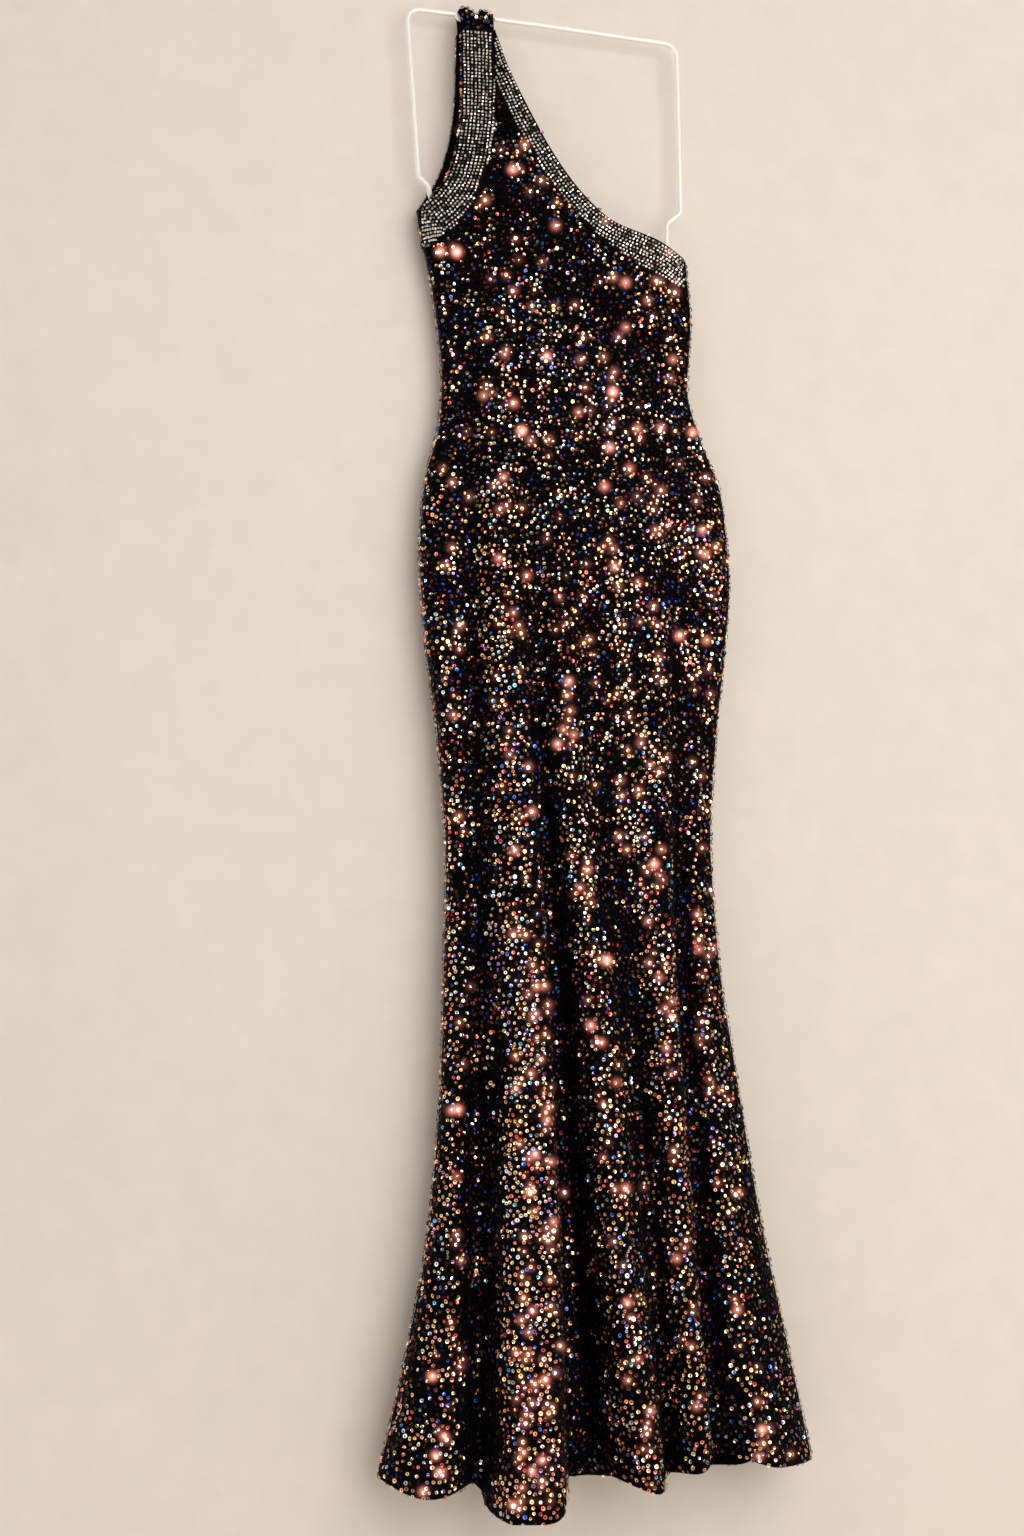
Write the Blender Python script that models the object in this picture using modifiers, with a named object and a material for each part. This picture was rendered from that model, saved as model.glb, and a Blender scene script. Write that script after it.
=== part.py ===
"""Evening gown on a wire hanger: one shoulder, floor length, fitted to the knee and flared below it.

Metres, +Z up. The origin is the middle of the hanger's top bar, the gown hangs below it, its front
faces -Y and its one strap is on the -X side. Heights are given as a drop below the bar.
"""
import math
from collections import namedtuple

import bmesh
import bpy
from mathutils import Matrix, Vector

# ---------------------------------------------------------------- driving dimensions (metres)
CLOTH = 0.0020            # wall of every cloth piece
SEAM_GAP = 0.0003         # between two pieces that are sewn together
SEAM_FLAT = 0.0030        # the cloth runs straight back this far before it reaches a side seam
SEAM_TOP_OPEN = 0.0022    # at its top end a side seam stands open by this much on each side
SEAM_TOP_LENGTH = 0.012   # and is closed this far below
SIDE_ROUNDING = 2.4       # exponent of the section's outline: 2 is an ellipse, more is boxier
RIDGE_BREADTH = 1.35      # over 1 makes ridges broad and valleys narrow
HEM_LEVEL = 1.485         # drop of the hem before it is cut to its waves
HEM_WAVE_START = 0.80     # the hem's waves begin at this share of the skirt

NORMAL_STEP = 0.0005      # over which the slope of the cloth is taken

TRIM_LIFT = 0.00045       # a trim lies this far off the cloth
TRIM_THICK = 0.0012       # backing net and the bed of its stones

WIRE_RADIUS = 0.00235
BEND_STEPS = 4            # straight pieces in each bend of the wire
STRAIGHT_BEND = math.radians(6)   # a corner that turns less than this needs no arc
NOTCH_DROP = 0.0040       # the bar dips this far where the strap lies
WIRE_SEAT = 0.0003        # the strap rests this far above the wire

STRAP_END = 0.0172        # drop where the strap loop meets the front and the back
STRAP_TURN = 0.0060       # drop where the loop starts to turn over the bar
STRAP_SEAT = WIRE_RADIUS + WIRE_SEAT + CLOTH - NOTCH_DROP
STRAP_FULLNESS = 0.8      # under 1 makes the loop's top squarer than an ellipse
EDGE_WIDTH = 0.0012       # the first column of a free edge

BODICE_ROWS = 12
SKIRT_ROWS = 21
STRAP_ROWS = 16
STRAP_COLUMNS = 12
ARMHOLE_STEPS = 24
NECKLINE_STEPS = 30
TRIM_COLUMNS = 3

# The section at each drop: left and right side, the side seam's depth, and how far the cloth stands
# in front of the seam and behind it.
Section = namedtuple("Section", "drop left right seam front back")
SECTIONS = [
    Section(0.000, -0.1390, 0.1530, 0.000, 0.0095, 0.0095),
    Section(0.120, -0.1390, 0.1530, 0.000, 0.0155, 0.0150),
    Section(0.228, -0.1390, 0.1530, 0.000, 0.0180, 0.0145),
    Section(0.258, -0.1345, 0.1525, 0.000, 0.0185, 0.0140),
    Section(0.320, -0.1235, 0.1550, 0.000, 0.0195, 0.0130),
    Section(0.405, -0.1160, 0.1480, 0.000, 0.0215, 0.0130),
    Section(0.455, -0.1205, 0.1590, -0.001, 0.0250, 0.0150),
    Section(0.520, -0.1370, 0.1790, -0.003, 0.0310, 0.0180),
    Section(0.600, -0.1440, 0.1830, -0.005, 0.0360, 0.0210),
    Section(0.690, -0.1390, 0.1730, -0.007, 0.0375, 0.0220),
    Section(0.780, -0.1295, 0.1590, -0.008, 0.0380, 0.0225),
    Section(0.900, -0.1238, 0.1475, -0.010, 0.0390, 0.0235),
    Section(1.000, -0.1280, 0.1500, -0.012, 0.0410, 0.0250),
    Section(1.100, -0.1330, 0.1605, -0.014, 0.0450, 0.0270),
    Section(1.250, -0.1490, 0.1785, -0.018, 0.0540, 0.0310),
    Section(1.380, -0.1770, 0.2010, -0.020, 0.0610, 0.0340),
    Section(1.500, -0.2100, 0.2220, -0.022, 0.0660, 0.0350),
]

# Folds that run down the skirt: where each crosses these drops, and how far it stands out from the
# section there, or sinks into it.
FOLD_DROPS = (0.34, 0.50, 0.75, 1.00, 1.25, 1.50)
Fold = namedtuple("Fold", "name is_ridge places rises")
FRONT_FOLDS = [
    Fold("left lobe", True,
         (-0.113, -0.120, -0.114, -0.122, -0.140, -0.167), (0.0, -0.003, -0.005, -0.003, -0.001, 0.001)),
    Fold("left valley", False,
         (-0.090, -0.094, -0.099, -0.103, -0.106, -0.110), (0.0, -0.010, -0.016, -0.024, -0.036, -0.047)),
    Fold("main lobe's near side", True,
         (-0.068, -0.075, -0.070, -0.062, -0.078, -0.095), (0.0, 0.003, 0.006, 0.011, 0.016, 0.019)),
    Fold("main lobe", True,
         (-0.056, -0.064, -0.058, -0.046, -0.052, -0.060), (0.0, 0.005, 0.008, 0.014, 0.020, 0.024)),
    Fold("middle valley", False,
         (-0.036, -0.039, -0.039, -0.029, -0.024, -0.025), (0.0, -0.001, -0.011, -0.021, -0.035, -0.048)),
    Fold("middle valley's far side", False,
         (-0.026, -0.032, -0.033, -0.023, -0.016, -0.007), (0.0, -0.001, -0.011, -0.021, -0.035, -0.048)),
    Fold("middle lobe", True,
         (-0.005, -0.013, -0.012, 0.007, 0.018, 0.038), (0.0, 0.002, 0.004, 0.008, 0.012, 0.014)),
    Fold("inner valley", False,
         (0.020, 0.014, 0.017, 0.045, 0.055, 0.064), (0.0, 0.0, -0.010, -0.014, -0.018, -0.025)),
    Fold("right lobe", True,
         (0.078, 0.088, 0.086, 0.083, 0.083, 0.088), (0.0, 0.002, 0.005, 0.009, 0.010, 0.007)),
    Fold("right valley", False,
         (0.108, 0.117, 0.117, 0.104, 0.107, 0.113), (0.0, -0.002, -0.011, -0.020, -0.027, -0.031)),
    Fold("side lobe", True,
         (0.131, 0.146, 0.139, 0.129, 0.137, 0.172), (0.0, -0.002, -0.004, -0.002, 0.001, 0.004)),
]
FRONT_COLUMNS = (6, 4, 4, 2, 4, 1, 4, 4, 5, 3, 3, 6)   # between the sides and the folds, from the left

BACK_FOLDS = [
    Fold("left back lobe", True,
         (-0.108, -0.116, -0.110, -0.112, -0.130, -0.158), (0.0, 0.0, -0.002, -0.003, -0.002, -0.002)),
    Fold("left back valley", False,
         (-0.082, -0.088, -0.084, -0.082, -0.090, -0.106), (0.0, -0.003, -0.007, -0.010, -0.015, -0.022)),
    Fold("left centre lobe", True,
         (-0.050, -0.052, -0.049, -0.045, -0.050, -0.059), (0.0, 0.0, 0.0, 0.0, 0.0, 0.0)),
    Fold("centre valley", False,
         (-0.018, -0.018, -0.015, -0.012, -0.012, -0.012), (0.0, -0.002, -0.006, -0.011, -0.016, -0.020)),
    Fold("centre lobe", True,
         (0.014, 0.016, 0.018, 0.021, 0.028, 0.035), (0.0, 0.0, 0.0, 0.0, 0.0, 0.001)),
    Fold("right centre valley", False,
         (0.046, 0.050, 0.050, 0.053, 0.064, 0.080), (0.0, -0.003, -0.006, -0.009, -0.013, -0.019)),
    Fold("right back lobe", True,
         (0.078, 0.084, 0.082, 0.083, 0.098, 0.120), (0.0, 0.0, 0.0, 0.0, 0.0, 0.0)),
    Fold("right back valley", False,
         (0.104, 0.114, 0.110, 0.108, 0.125, 0.157), (0.0, -0.002, -0.007, -0.009, -0.013, -0.018)),
    Fold("right side lobe", True,
         (0.128, 0.144, 0.136, 0.130, 0.150, 0.188), (0.0, 0.0, -0.002, -0.003, -0.002, -0.002)),
]
BACK_COLUMNS = (5, 3, 3, 3, 3, 3, 3, 3, 3, 5)

# Short soft hollows: place, size of the ellipse, its lean to the right going down, and depth.
Hollow = namedtuple("Hollow", "x drop half_width half_height lean depth")
FRONT_HOLLOWS = [
    Hollow(-0.022, 0.218, 0.016, 0.045, 0.00, 0.0035),
    Hollow(0.052, 0.328, 0.022, 0.026, 0.45, 0.0030),
    Hollow(0.112, 0.404, 0.014, 0.030, 0.40, 0.0025),
    Hollow(0.068, 0.770, 0.015, 0.130, -0.02, 0.0080),
]
BACK_HOLLOWS = [
    Hollow(0.020, 0.300, 0.020, 0.050, 0.30, 0.0025),
    Hollow(-0.060, 0.350, 0.016, 0.060, 0.10, 0.0020),
]

# The edges of the bodice, from the strap down to the side seams.
EdgePoint = namedtuple("EdgePoint", "x drop")
FRONT_ARMHOLE = [
    EdgePoint(-0.0905, 0.0175), EdgePoint(-0.0915, 0.0810), EdgePoint(-0.0935, 0.1210),
    EdgePoint(-0.0985, 0.1540), EdgePoint(-0.1080, 0.1880), EdgePoint(-0.1220, 0.2090),
    EdgePoint(-0.1390, 0.2280),
]
BACK_ARMHOLE = [
    EdgePoint(-0.0905, 0.0175), EdgePoint(-0.0925, 0.0810), EdgePoint(-0.0965, 0.1210),
    EdgePoint(-0.1035, 0.1540), EdgePoint(-0.1140, 0.1840), EdgePoint(-0.1270, 0.2060),
    EdgePoint(-0.1390, 0.2280),
]
FRONT_NECKLINE = [
    EdgePoint(-0.0550, 0.0175), EdgePoint(-0.0500, 0.0540), EdgePoint(-0.0285, 0.0960),
    EdgePoint(0.0065, 0.1590), EdgePoint(0.0390, 0.2020), EdgePoint(0.0690, 0.2255),
    EdgePoint(0.1180, 0.2405), EdgePoint(0.1530, 0.2590),
]
BACK_NECKLINE = [
    EdgePoint(-0.0550, 0.0175), EdgePoint(-0.0510, 0.0600), EdgePoint(-0.0330, 0.1060),
    EdgePoint(0.0030, 0.1720), EdgePoint(0.0400, 0.2160), EdgePoint(0.0720, 0.2380),
    EdgePoint(0.1150, 0.2520), EdgePoint(0.1530, 0.2590),
]

# The hem's drop across the front and the back.
FRONT_HEM = [
    EdgePoint(-0.210, 1.464), EdgePoint(-0.165, 1.480), EdgePoint(-0.111, 1.474),
    EdgePoint(-0.097, 1.496), EdgePoint(-0.070, 1.500), EdgePoint(-0.048, 1.495),
    EdgePoint(-0.025, 1.474), EdgePoint(-0.007, 1.472), EdgePoint(0.050, 1.486),
    EdgePoint(0.064, 1.476), EdgePoint(0.088, 1.472), EdgePoint(0.113, 1.463),
    EdgePoint(0.172, 1.478), EdgePoint(0.222, 1.480),
]
BACK_HEM = [
    EdgePoint(-0.210, 1.464), EdgePoint(-0.150, 1.482), EdgePoint(-0.106, 1.478),
    EdgePoint(-0.059, 1.490), EdgePoint(-0.012, 1.484), EdgePoint(0.035, 1.492),
    EdgePoint(0.080, 1.484), EdgePoint(0.120, 1.488), EdgePoint(0.222, 1.480),
]

# Each trim is a band between an outer edge, near the panel's own, and an inner edge.
BandPoint = namedtuple("BandPoint", "outer_x outer_drop inner_x inner_drop")
ARMHOLE_BAND = [
    BandPoint(-0.0898, 0.0180, -0.0562, 0.0180), BandPoint(-0.0908, 0.0800, -0.0562, 0.0760),
    BandPoint(-0.0927, 0.1210, -0.0582, 0.1150), BandPoint(-0.0975, 0.1530, -0.0620, 0.1530),
    BandPoint(-0.1068, 0.1880, -0.0735, 0.1950), BandPoint(-0.1210, 0.2100, -0.0925, 0.2350),
    BandPoint(-0.1340, 0.2270, -0.1130, 0.2550), BandPoint(-0.1330, 0.2480, -0.1240, 0.2640),
    BandPoint(-0.1305, 0.2650, -0.1285, 0.2690),
]
NECKLINE_BAND = [
    BandPoint(-0.0533, 0.0330, -0.0556, 0.0330), BandPoint(-0.0503, 0.0560, -0.0556, 0.0560),
    BandPoint(-0.0413, 0.0740, -0.0548, 0.0790), BandPoint(-0.0295, 0.0965, -0.0455, 0.1060),
    BandPoint(-0.0075, 0.1370, -0.0235, 0.1470), BandPoint(0.0215, 0.1825, 0.0060, 0.1945),
    BandPoint(0.0385, 0.2035, 0.0240, 0.2175), BandPoint(0.0620, 0.2225, 0.0500, 0.2430),
    BandPoint(0.0940, 0.2350, 0.0820, 0.2660), BandPoint(0.1180, 0.2425, 0.1080, 0.2790),
    BandPoint(0.1370, 0.2515, 0.1300, 0.2880), BandPoint(0.1480, 0.2590, 0.1470, 0.2930),
]

# How high the gathered strap stands over the bar, from its left edge to its right one.
Gather = namedtuple("Gather", "x height")
GATHERS = [
    Gather(-0.0915, 0.0050), Gather(-0.0845, 0.0090), Gather(-0.0785, 0.0062),
    Gather(-0.0725, STRAP_SEAT), Gather(-0.0665, 0.0080), Gather(-0.0555, 0.0038),
]

# The hanger's wire, once round: each bend's corner and radius.
Bend = namedtuple("Bend", "x drop radius")
HANGER_BENDS = [
    Bend(0.0000, 0.0000, 0.010), Bend(0.1535, 0.0040, 0.014), Bend(0.1500, 0.2005, 0.006),
    Bend(0.1340, 0.2145, 0.006), Bend(0.1290, 0.2960, 0.014), Bend(-0.1110, 0.2960, 0.014),
    Bend(-0.1270, 0.1975, 0.005), Bend(-0.1375, 0.1870, 0.005), Bend(-0.1470, -0.0010, 0.014),
    Bend(-0.0940, -0.0010, 0.003), Bend(-0.0900, NOTCH_DROP, 0.003),
    Bend(-0.0570, NOTCH_DROP, 0.003), Bend(-0.0530, -0.0005, 0.003),
]

# Colour, roughness and metallic value of each finish.
Finish = namedtuple("Finish", "colour roughness metallic")
SEQUIN_CLOTH = Finish((0.012, 0.011, 0.014), 0.35, 0.2)
STONE_BAND = Finish((0.55, 0.53, 0.52), 0.20, 0.5)
WHITE_WIRE = Finish((0.86, 0.85, 0.82), 0.35, 0.0)


# ---------------------------------------------------------------- reading the tables
def smooth_value(places, values, at):
    """Cubic curve through the values that never overshoots them; the places rise."""
    if at <= places[0]:
        return values[0]
    if at >= places[-1]:
        return values[-1]
    steps = [b - a for a, b in zip(places, places[1:])]
    rates = [(b - a) / step for a, b, step in zip(values, values[1:], steps)]
    inner = [0.0 if p * q <= 0.0 else 2.0 * p * q / (p + q) for p, q in zip(rates, rates[1:])]
    slopes = [rates[0]] + inner + [rates[-1]]
    i = max(k for k in range(len(steps)) if places[k] <= at)
    t = (at - places[i]) / steps[i]
    start = values[i] * (1 + 2 * t) * (1 - t) ** 2 + values[i + 1] * t * t * (3 - 2 * t)
    return start + steps[i] * (slopes[i] * t * (1 - t) ** 2 - slopes[i + 1] * t * t * (1 - t))


def column(table, name):
    return [getattr(row, name) for row in table]


def section_value(name, drop):
    return smooth_value(column(SECTIONS, "drop"), column(SECTIONS, name), drop)


def along(table, names, share):
    """Point at this share of a table's length, measured along its first two columns."""
    first, second = column(table, names[0]), column(table, names[1])
    lengths = [0.0]
    for k in range(1, len(table)):
        lengths.append(lengths[-1] + math.hypot(first[k] - first[k - 1], second[k] - second[k - 1]))
    at = share * lengths[-1]
    return [smooth_value(lengths, column(table, name), at) for name in names]


def ease(t):
    t = min(max(t, 0.0), 1.0)
    return t * t * (3 - 2 * t)


# ---------------------------------------------------------------- the form of the cloth
class Side:
    """The front or the back of the gown: its depth at any place, and its columns."""

    def __init__(self, facing, depth_name, folds, hollows, columns, armhole, neckline, hem):
        self.facing = facing
        self.depth_name = depth_name
        self.folds = folds
        self.hollows = hollows
        self.columns = columns
        self.armhole = armhole
        self.neckline = neckline
        self.hem = hem

    def fold_lines(self, drop):
        """Where the sides and the folds cross this drop, and how far each stands out."""
        lines = [(section_value("left", drop), self.folds[0].is_ridge, 0.0)]
        for fold in self.folds:
            place = smooth_value(FOLD_DROPS, fold.places, drop)
            rise = smooth_value(FOLD_DROPS, fold.rises, drop)
            lines.append((place, fold.is_ridge, rise))
        lines.append((section_value("right", drop), self.folds[-1].is_ridge, 0.0))
        return lines

    def fold_rise(self, x, drop):
        lines = self.fold_lines(drop)
        for (x0, ridge0, rise0), (x1, ridge1, rise1) in zip(lines, lines[1:]):
            if x <= x1 or x1 == lines[-1][0]:
                t = min(max((x - x0) / (x1 - x0), 0.0), 1.0)
                if ridge0 and not ridge1:
                    share = ease(t ** RIDGE_BREADTH)
                elif ridge1 and not ridge0:
                    share = 1.0 - ease((1.0 - t) ** RIDGE_BREADTH)
                else:
                    share = ease(t)
                return rise0 + (rise1 - rise0) * share
        return 0.0

    def hollow_depth(self, x, drop):
        total = 0.0
        for hollow in self.hollows:
            down = drop - hollow.drop
            across = (x - hollow.x - hollow.lean * down) / hollow.half_width
            total += hollow.depth * math.exp(-across * across - (down / hollow.half_height) ** 2)
        return total

    def depth(self, x, drop):
        """How far the outer face of the cloth stands from the plane of the side seams."""
        left, right = section_value("left", drop), section_value("right", drop)
        across = min(abs(2.0 * (x - left) / (right - left) - 1.0), 1.0)
        rounding = (1.0 - across ** SIDE_ROUNDING) ** (1.0 / SIDE_ROUNDING)
        full = section_value(self.depth_name, drop) + self.fold_rise(x, drop) - self.hollow_depth(x, drop)
        return SEAM_FLAT + (full - SEAM_FLAT) * rounding

    def place(self, x, drop, depth=None):
        depth = self.depth(x, drop) if depth is None else depth
        return Vector((x, section_value("seam", drop) + self.facing * depth, -drop))

    def outward(self, x, drop):
        """Direction out of the cloth at this place."""
        step = NORMAL_STEP
        right_way = self.place(x + step, drop) - self.place(x - step, drop)
        down_way = self.place(x, drop + step) - self.place(x, drop - step)
        normal = right_way.cross(down_way).normalized()
        return normal if normal.y * self.facing > 0 else -normal

    def column_share(self, index, drop):
        """Share of the width at which a column runs, so that columns follow the folds."""
        lines = self.fold_lines(max(drop, FOLD_DROPS[0]))
        interval = 0
        while index > self.columns[interval]:
            index -= self.columns[interval]
            interval += 1
        x0, x1 = lines[interval][0], lines[interval + 1][0]
        x = x0 + (x1 - x0) * index / self.columns[interval]
        return (x - lines[0][0]) / (lines[-1][0] - lines[0][0])

    def row_ends(self, row):
        """Left and right end (x, drop) of a row of the panel."""
        if row <= BODICE_ROWS:
            share = row / BODICE_ROWS
            return (along(self.armhole, ("x", "drop"), share), along(self.neckline, ("x", "drop"), share))
        share = (row - BODICE_ROWS - 1) / (SKIRT_ROWS - 1)
        left_top = self.armhole[-1].drop + SEAM_TOP_LENGTH
        right_top = self.neckline[-1].drop + SEAM_TOP_LENGTH
        left_drop = left_top + (HEM_LEVEL - left_top) * share
        right_drop = right_top + (HEM_LEVEL - right_top) * share
        return ((section_value("left", left_drop), left_drop),
                (section_value("right", right_drop), right_drop))

    def panel_point(self, row, index):
        """Outer point of the panel. The first and last column lie on its edges."""
        (left_x, left_drop), (right_x, right_drop) = self.row_ends(row)
        last = sum(self.columns) + 2
        share = self.column_share(min(max(index - 1, 0), last - 2), 0.5 * (left_drop + right_drop))
        x = left_x + (right_x - left_x) * share
        drop = left_drop + (right_drop - left_drop) * share
        if row > BODICE_ROWS:
            hem_drop = smooth_value(column(self.hem, "x"), column(self.hem, "drop"), x)
            wave = ease(((row - BODICE_ROWS) / SKIRT_ROWS - HEM_WAVE_START) / (1.0 - HEM_WAVE_START))
            drop += (hem_drop - HEM_LEVEL) * wave
            x = min(max(x, section_value("left", drop)), section_value("right", drop))
        on_edge = index in (0, last)
        if on_edge and row >= BODICE_ROWS:
            return self.place(x, drop, SEAM_TOP_OPEN if row == BODICE_ROWS else SEAM_GAP / 2)
        if on_edge:
            x += EDGE_WIDTH if index == last else -EDGE_WIDTH
        return self.place(x, drop)


# ---------------------------------------------------------------- making objects
def clear_scene():
    for item in list(bpy.data.objects):
        bpy.data.objects.remove(item, do_unlink=True)


def make_material(name, finish):
    material = bpy.data.materials.new(name)
    material.use_nodes = True
    shader = material.node_tree.nodes["Principled BSDF"]
    shader.inputs["Base Color"].default_value = (*finish.colour, 1.0)
    shader.inputs["Roughness"].default_value = finish.roughness
    shader.inputs["Metallic"].default_value = finish.metallic
    material.diffuse_color = (*finish.colour, 1.0)
    return material


def sheet_object(name, point, rows, columns, thickness, offset, facing, finish, collection):
    """Open sheet through a grid of points, given its wall by Solidify."""
    shape = bmesh.new()
    grid = [[shape.verts.new(point(row, index)) for index in range(columns + 1)]
            for row in range(rows + 1)]
    for upper, lower in zip(grid, grid[1:]):
        for k in range(columns):
            corners = [upper[k], lower[k], lower[k + 1], upper[k + 1]]
            shape.faces.new(corners if facing < 0 else corners[::-1])
    mesh = bpy.data.meshes.new(name)
    shape.to_mesh(mesh)
    shape.free()
    mesh.shade_smooth()
    sheet = bpy.data.objects.new(name, mesh)
    collection.objects.link(sheet)
    mesh.materials.append(make_material(name + "_finish", finish))
    wall = sheet.modifiers.new("wall", "SOLIDIFY")
    wall.thickness = thickness
    wall.offset = offset
    return sheet


def add_panel(name, side, collection):
    sheet_object(name, side.panel_point, BODICE_ROWS + SKIRT_ROWS, sum(side.columns) + 2,
                 CLOTH, -1.0, side.facing, SEQUIN_CLOTH, collection)


def add_band(name, side, band, steps, collection):
    """Trim that follows an edge of the bodice, on the outer face of its panel."""
    def point(row, index):
        outer_x, outer_drop, inner_x, inner_drop = along(band, BandPoint._fields, row / steps)
        share = index / TRIM_COLUMNS
        x = outer_x + (inner_x - outer_x) * share
        drop = outer_drop + (inner_drop - outer_drop) * share
        return side.place(x, drop) + side.outward(x, drop) * TRIM_LIFT

    left_first = band[0].outer_x < band[0].inner_x
    sheet_object(name, point, steps, TRIM_COLUMNS, TRIM_THICK, 1.0,
                 side.facing if left_first else -side.facing, STONE_BAND, collection)


def add_strap(name, front, back, collection):
    """Gathered loop that carries the gown over the hanger's bar."""
    def point(row, index):
        share = index / STRAP_COLUMNS
        x = GATHERS[0].x + (GATHERS[-1].x - GATHERS[0].x) * share
        end_x = front.armhole[0].x + (front.neckline[0].x - front.armhole[0].x) * share
        height = smooth_value(column(GATHERS, "x"), column(GATHERS, "height"), x)
        turn = math.pi * row / STRAP_ROWS
        side = front if row * 2 <= STRAP_ROWS else back
        depth = side.depth(end_x, STRAP_END)
        y = side.facing * depth * abs(math.cos(turn))
        if row in (0, STRAP_ROWS):
            return Vector((end_x, y, -STRAP_END))
        rise = math.sin(turn) ** STRAP_FULLNESS
        return Vector((x, y, -STRAP_TURN + (height + STRAP_TURN) * rise))

    sheet_object(name, point, STRAP_ROWS, STRAP_COLUMNS, CLOTH, -1.0, 1, SEQUIN_CLOTH, collection)


def rounded_loop(bends):
    """Points once round a closed wire, each corner replaced by an arc of its radius."""
    points = []
    for k, bend in enumerate(bends):
        corner = Vector((bend.x, 0.0, -bend.drop))
        before = Vector((bends[k - 1].x, 0.0, -bends[k - 1].drop))
        after = Vector((bends[(k + 1) % len(bends)].x, 0.0, -bends[(k + 1) % len(bends)].drop))
        way_in, way_out = (corner - before).normalized(), (after - corner).normalized()
        turn = way_in.angle(way_out)
        if turn < STRAIGHT_BEND:
            points.append(corner)
            continue
        reach = bend.radius * math.tan(turn / 2)
        inward = (way_out - way_in * way_in.dot(way_out)).normalized()
        centre = corner - way_in * reach + inward * bend.radius
        spoke = corner - way_in * reach - centre
        axis = way_in.cross(way_out).normalized()
        for step in range(BEND_STEPS + 1):
            points.append(centre + Matrix.Rotation(turn * step / BEND_STEPS, 3, axis) @ spoke)
    return points


def add_hanger(name, collection):
    curve = bpy.data.curves.new(name, "CURVE")
    curve.dimensions = "3D"
    curve.bevel_depth = WIRE_RADIUS
    curve.bevel_resolution = 2
    points = rounded_loop(HANGER_BENDS)
    wire = curve.splines.new("POLY")
    wire.points.add(len(points) - 1)
    for spot, point in zip(wire.points, points):
        spot.co = (*point, 1.0)
    wire.use_cyclic_u = True
    wire.use_smooth = True
    curve.materials.append(make_material(name + "_finish", WHITE_WIRE))
    collection.objects.link(bpy.data.objects.new(name, curve))


def main():
    clear_scene()
    gown = bpy.data.collections.new("evening_gown_on_hanger")
    bpy.context.scene.collection.children.link(gown)
    front = Side(-1, "front", FRONT_FOLDS, FRONT_HOLLOWS, FRONT_COLUMNS,
                 FRONT_ARMHOLE, FRONT_NECKLINE, FRONT_HEM)
    back = Side(1, "back", BACK_FOLDS, BACK_HOLLOWS, BACK_COLUMNS,
                BACK_ARMHOLE, BACK_NECKLINE, BACK_HEM)
    add_hanger("hanger_wire", gown)
    add_panel("front_panel", front, gown)
    add_panel("back_panel", back, gown)
    add_strap("shoulder_strap", front, back, gown)
    add_band("armhole_trim", front, ARMHOLE_BAND, ARMHOLE_STEPS, gown)
    add_band("neckline_trim", front, NECKLINE_BAND, NECKLINE_STEPS, gown)


main()
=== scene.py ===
"""Looks of a sequinned one-shoulder evening gown that hangs on a white wire frame.

Metres, +Z up. The origin is the middle of the frame's top bar. The front of the gown faces -Y and its
strap is on the -X side. Heights are given as a drop below the bar.
"""

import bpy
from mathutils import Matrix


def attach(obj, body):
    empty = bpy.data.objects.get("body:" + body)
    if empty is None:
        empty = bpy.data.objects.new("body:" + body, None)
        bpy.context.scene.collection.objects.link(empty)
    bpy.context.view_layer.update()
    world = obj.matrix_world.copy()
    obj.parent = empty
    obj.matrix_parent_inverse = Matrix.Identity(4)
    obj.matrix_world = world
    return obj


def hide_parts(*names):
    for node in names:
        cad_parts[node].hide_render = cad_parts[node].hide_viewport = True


bl_info = {
    "name": "Sequinned Evening Gown",
    "version": (1, 0, 0),
    "blender": (4, 5, 0),
    "location": "3D View > Sidebar > Gown",
    "description": "Makes the cloth, sequins, stones and wire frame of an evening gown",
    "category": "Object",
}

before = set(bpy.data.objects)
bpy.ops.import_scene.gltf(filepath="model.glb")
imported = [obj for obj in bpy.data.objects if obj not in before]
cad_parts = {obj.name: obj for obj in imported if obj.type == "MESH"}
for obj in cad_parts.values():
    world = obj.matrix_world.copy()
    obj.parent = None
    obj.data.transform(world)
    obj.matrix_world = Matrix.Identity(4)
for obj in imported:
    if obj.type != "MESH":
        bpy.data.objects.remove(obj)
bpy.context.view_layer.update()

import math
from collections import namedtuple

import bmesh
import bpy
import numpy as np
from bpy.props import FloatProperty, FloatVectorProperty, IntProperty, PointerProperty
from mathutils import Matrix, Vector

BODY = "root"

# ---------------------------------------------------------------- the cloth's form, as in the solids
HEM_LEVEL = 1.485         # drop of the hem before it is cut to its waves
HEM_WAVE_START = 0.80     # the hem's waves begin at this share of the skirt
SEAM_GAP = 0.0003         # between the front and the back at the side seams
SEAM_FLAT = 0.0030        # the cloth runs straight back this far before it reaches a side seam
SEAM_TOP_OPEN = 0.0022    # at its top end a side seam stands open by this much on each side
SEAM_TOP_LENGTH = 0.012   # and is closed this far below
SIDE_ROUNDING = 2.4       # exponent of the section's outline: 2 is an ellipse, more is boxier
RIDGE_BREADTH = 1.35      # over 1 makes ridges broad and valleys narrow
EDGE_WIDTH = 0.0012       # the cloth of a free edge beyond its panel's outline
NORMAL_STEP = 0.0005      # over which the slope of the cloth is taken
STRAP_END = 0.0172        # drop where the strap loop meets the front and the back
STRAP_TURN = 0.0060       # drop where the loop starts to turn over the bar
STRAP_FULLNESS = 0.8      # under 1 makes the loop's top squarer than an ellipse
STRAP_WIDENS = 3.0        # how soon the loop takes the width of its top
STRAP_LEAVES = 4.0        # how soon it leaves the level of its ends
STRAP_PLEATS = 6          # small gathers across the strap
STRAP_PLEAT = 0.0005      # how far they stand out at its top
STRAP_PLEAT_SHARE = 0.05  # and down its front and back, as a share of its depth
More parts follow.
